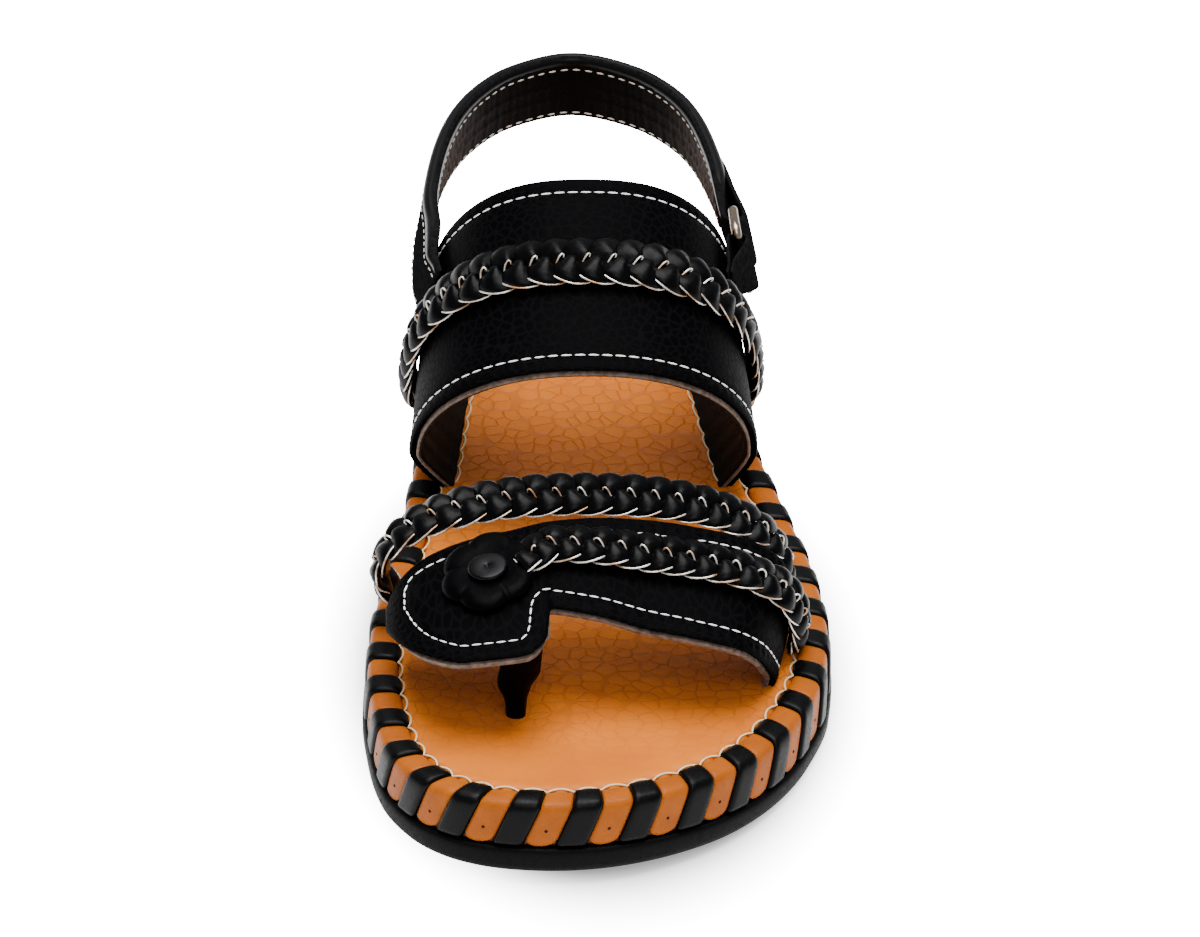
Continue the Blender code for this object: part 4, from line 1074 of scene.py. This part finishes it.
def fold_round(bar, start, turn, wall):
    """Rows that take a strip round a ring's bar, from one side of it to the other."""
    radius = RING_WIRE + FOLD_SLACK + wall / 2
    return [bar._replace(x=bar.x + radius * math.cos(a) * start, y=bar.y + radius * math.sin(a) * turn)
            for a in np.linspace(0, math.pi, 9)]


def upright(rows, walls):
    """A strip standing on edge through rows: a reader of its points, its length, and the rows' places."""
    keys = run_along(np.array([r[:2] for r in rows]))

    def column(name, at):
        return smooth_through(keys, [getattr(r, name) for r in rows], at)

    def read(share, up, stand):
        """Points at a share of the length, up from -1 to 1, and as many half walls outward as stand says."""
        at = share * keys[-1]
        before, after = np.maximum(at - 0.3, 0), np.minimum(at + 0.3, keys[-1])
        tangent = unit(np.stack([column(n, after) - column(n, before) for n in "xy"], axis=-1))
        x, y, low, high, flare, slant = (column(n, at) for n in HeelRow._fields)
        half = np.interp(at, keys, walls) / 2
        x, y = (x - tangent[..., 1] * stand * half - up * np.sign(x) * flare / 2,
                y + tangent[..., 0] * stand * half - up * slant / 2)
        return np.stack([x, y, (low + high) / 2 + up * (high - low) / 2], axis=-1) * MM

    return read, keys[-1] * MM, keys


section_turns = math.tau * np.arange(32) / 32
UPRIGHT_SECTION = np.stack([  # round-edged section: across the wall from -1 to 1, up from -1 to 1
    fuller(np.cos(section_turns), 0.55), fuller(np.sin(section_turns), 0.20)], axis=1)
UPRIGHT_SECTION = np.concatenate([UPRIGHT_SECTION, UPRIGHT_SECTION[:1]])


def upright_piece(name, read, steps, uv_size, slot):
    """A closed piece of black leather with the round-edged section all along a strip."""

    def place(u, v):
        k = np.rint(v * (len(UPRIGHT_SECTION) - 1)).astype(int)
        return read(u, UPRIGHT_SECTION[k, 1], UPRIGHT_SECTION[k, 0])

    target = bmesh.new()
    bend_grid(target, steps, len(UPRIGHT_SECTION) - 1, place, uv_size)
    bmesh.ops.remove_doubles(target, verts=target.verts, dist=1e-6)
    bmesh.ops.holes_fill(target, edges=[e for e in target.edges if e.is_boundary], sides=0)
    add_piece(name, target, matte_black, slot=slot, node=slot)


SKIVED = ((0.72, 1.2), (0.79, 1.6), (0.87, 2.6))  # share of the band's width, wall in mm
sewn = [sewn_row(-1, share, 49.0, 66.3, wall / 2, STRAP_BULGE) for share, wall in SKIVED]
fold = fold_round(RING_REAR, -1, -1, FOLD_WALL)
rows = [*sewn, *HEEL_STRAP, *fold, *FOLDED_END]
walls = [wall for _, wall in SKIVED] + [HEEL_STRAP_WALL] * len(HEEL_STRAP)
walls += [FOLD_WALL] * (len(fold) + len(FOLDED_END))
heel_read, heel_length, heel_keys = upright(rows, walls)
LINED = (heel_keys[2] / heel_keys[-1], heel_keys[len(sewn) + len(HEEL_STRAP) - 1] / heel_keys[-1])
# Painted shade: the lining's colour is darkened towards the back of the heel, where it faces away from the
# lamps.
LINING_PAINTED_SHADE = (0.066, 0.112)  # between these places the lining darkens towards the heel
LINING_LOW, LINING_HIGH, LINING_RIBS, LINING_OUT = -0.93, 0.73, (-0.37, 0.05), 1.06
HEEL_STITCH_UP, HEEL_STITCH_SHARE = (-0.82, 0.59), 0.68

matte_black = grained("matte_black_leather", srgb(18, 18, 19), 0.6, 700.0, bump=(0.1, 0.5),
                      tones=(srgb(12, 12, 13), srgb(24, 24, 25)), specular=0.0)

upright_piece("heel_strap_leather", heel_read, 320, (heel_length, 42 * MM), "heel_strap")

wrinkled, tree, shader = new_material("wrinkled_lining", srgb(66, 56, 50), 0.66, specular=0.05)
drawn_out = computed(tree, "VectorMath", "MULTIPLY", coordinates(tree, "UV"), (1.0, 0.12, 1.0))
folds = value_noise(tree, 700.0, place=drawn_out)
tone = mixed(tree, spread(tree, folds, 0.0, 1.0), srgb(46, 38, 33), srgb(76, 66, 59))
# Painted shade: the lining turns near black towards the back of the heel.
along = add_node(tree, "SeparateXYZ", {"Vector": coordinates(tree)})["Y"]
painted_light = spread(tree, along, 0.0, 1.0, *LINING_PAINTED_SHADE)
feed(tree, shader, {
    "Base Color": mixed(tree, painted_light, tone, srgb(3, 2, 1)), "Normal": bumped(tree, folds, 0.22, 0.8)})


def heel_lining(u, v):
    share = LINED[0] + (LINED[1] - LINED[0]) * u
    up = LINING_LOW + (LINING_HIGH - LINING_LOW) * v
    rib = sum(0.30 * bell((up - at) / 0.09) for at in LINING_RIBS)
    wave = 0.10 * np.sin(u * 330) * np.sin(u * 97 + 2 * v)
    return heel_read(share, up, -(LINING_OUT + (rib + wave) / (HEEL_STRAP_WALL / 2)))


work = bmesh.new()
bend_grid(work, 420, 36, heel_lining, (heel_length, 14 * MM))
piece = add_piece("heel_lining", work, wrinkled, slot="heel_strap")
inward = sum((p.normal.x * p.center.x + p.normal.y * (p.center.y - 0.06)) for p in piece.data.polygons)
if inward > 0:
    piece.data.flip_normals()
add_wall(piece, 0.7 * MM, 0.2 * MM)

grey_thread = new_material("grey_thread", srgb(190, 182, 172), 0.6, specular=0.2)[0]
glossy_black = new_material("glossy_black_edge", srgb(3, 3, 4), 0.3, specular=0.13)[0]
ROLL_OVER, ROLL_UP = 0.15, 0.79

work = bmesh.new()
for stand, first in ((-LINING_OUT, LINED[0]), (1.0, LINED[0] * 0.05)):
    for up in HEEL_STITCH_UP:
        share = np.linspace(first, LINED[1], 600)
        height = np.full(share.shape, up)
        line = heel_read(share, height, np.full(share.shape, stand))
        out = unit(line - heel_read(share, height, np.zeros(share.shape)))
        stitch_row(work, line + out * 0.05 * MM, out, share=HEEL_STITCH_SHARE)
add_piece("heel_strap_stitches", work, grey_thread, slot="heel_strap")

work = bmesh.new()
roll_end = heel_keys[len(sewn) + len(HEEL_STRAP)] / heel_keys[-1]
share = np.linspace(0.004, roll_end, 300)
radius = (np.interp(share * heel_keys[-1], heel_keys, walls) / 2 + ROLL_OVER) * MM
tube(work, heel_read(share, np.full(share.shape, ROLL_UP), np.zeros(share.shape)), radius, 16)
add_piece("heel_strap_roll", work, glossy_black, slot="heel_strap")


# Ring and tab. A rectangular ring of pale nickel wire, held on the band's outer side by a folded tab
# of black leather, through which the heel strap is fastened.
RING_MARGIN, RING_CORNER = 1.8, 2.5
TAB_SEWN, TAB_LOW, TAB_HIGH, TAB_WALL, TAB_GAP = (0.71, 0.745, 0.78), 52.2, 66.4, 1.0, 0.1
inner = [sewn_row(1, share, TAB_LOW, TAB_HIGH, TAB_WALL / 2, TAB_BULGE) for share in TAB_SEWN]
outer = [sewn_row(1, share, TAB_LOW, TAB_HIGH, 1.5 * TAB_WALL + TAB_GAP, TAB_BULGE)
         for share in TAB_SEWN[::-1]]
tab_rows = [*inner, *fold_round(RING_FRONT, -1, 1, TAB_WALL), *outer]
tab_read, tab_length, _ = upright(tab_rows, [TAB_WALL] * len(tab_rows))
upright_piece("folded_tab", tab_read, 120, (tab_length, 38 * MM), "ring_tab")

nickel = grained("pale_nickel", srgb(158, 142, 125), 0.22, 400.0, (0.16, 0.3), metallic=1.0)

rear, front = (np.array([b.x, b.y]) for b in (RING_REAR, RING_FRONT))
long_way = unit(rear - front)
half_long = np.linalg.norm(rear - front) / 2
half_high = (RING_FRONT.high - RING_FRONT.low) / 2 + RING_MARGIN
corners = []
for quarter, (rearward, upward) in enumerate(((1, 1), (-1, 1), (-1, -1), (1, -1))):
    a = np.linspace(0, math.pi / 2, 13) + quarter * math.pi / 2
    corners.append(np.column_stack([rearward * (half_long - RING_CORNER) + RING_CORNER * np.cos(a),
                                    upward * (half_high - RING_CORNER) + RING_CORNER * np.sin(a)]))
corners = np.concatenate(corners)
flat = np.outer(corners[:, 0], long_way) + (rear + front) / 2
flat[:, 0] -= corners[:, 1] * RING_FRONT.flare / (RING_FRONT.high - RING_FRONT.low)
ring_line = np.column_stack([flat, corners[:, 1] + (RING_FRONT.high + RING_FRONT.low) / 2]) * MM
work = bmesh.new()
tube(work, ring_line, RING_WIRE * MM, 16, closed=True, up=(1.0, 0.0, 0.25))
add_piece("nickel_ring", work, nickel, slot="ring", node="ring")
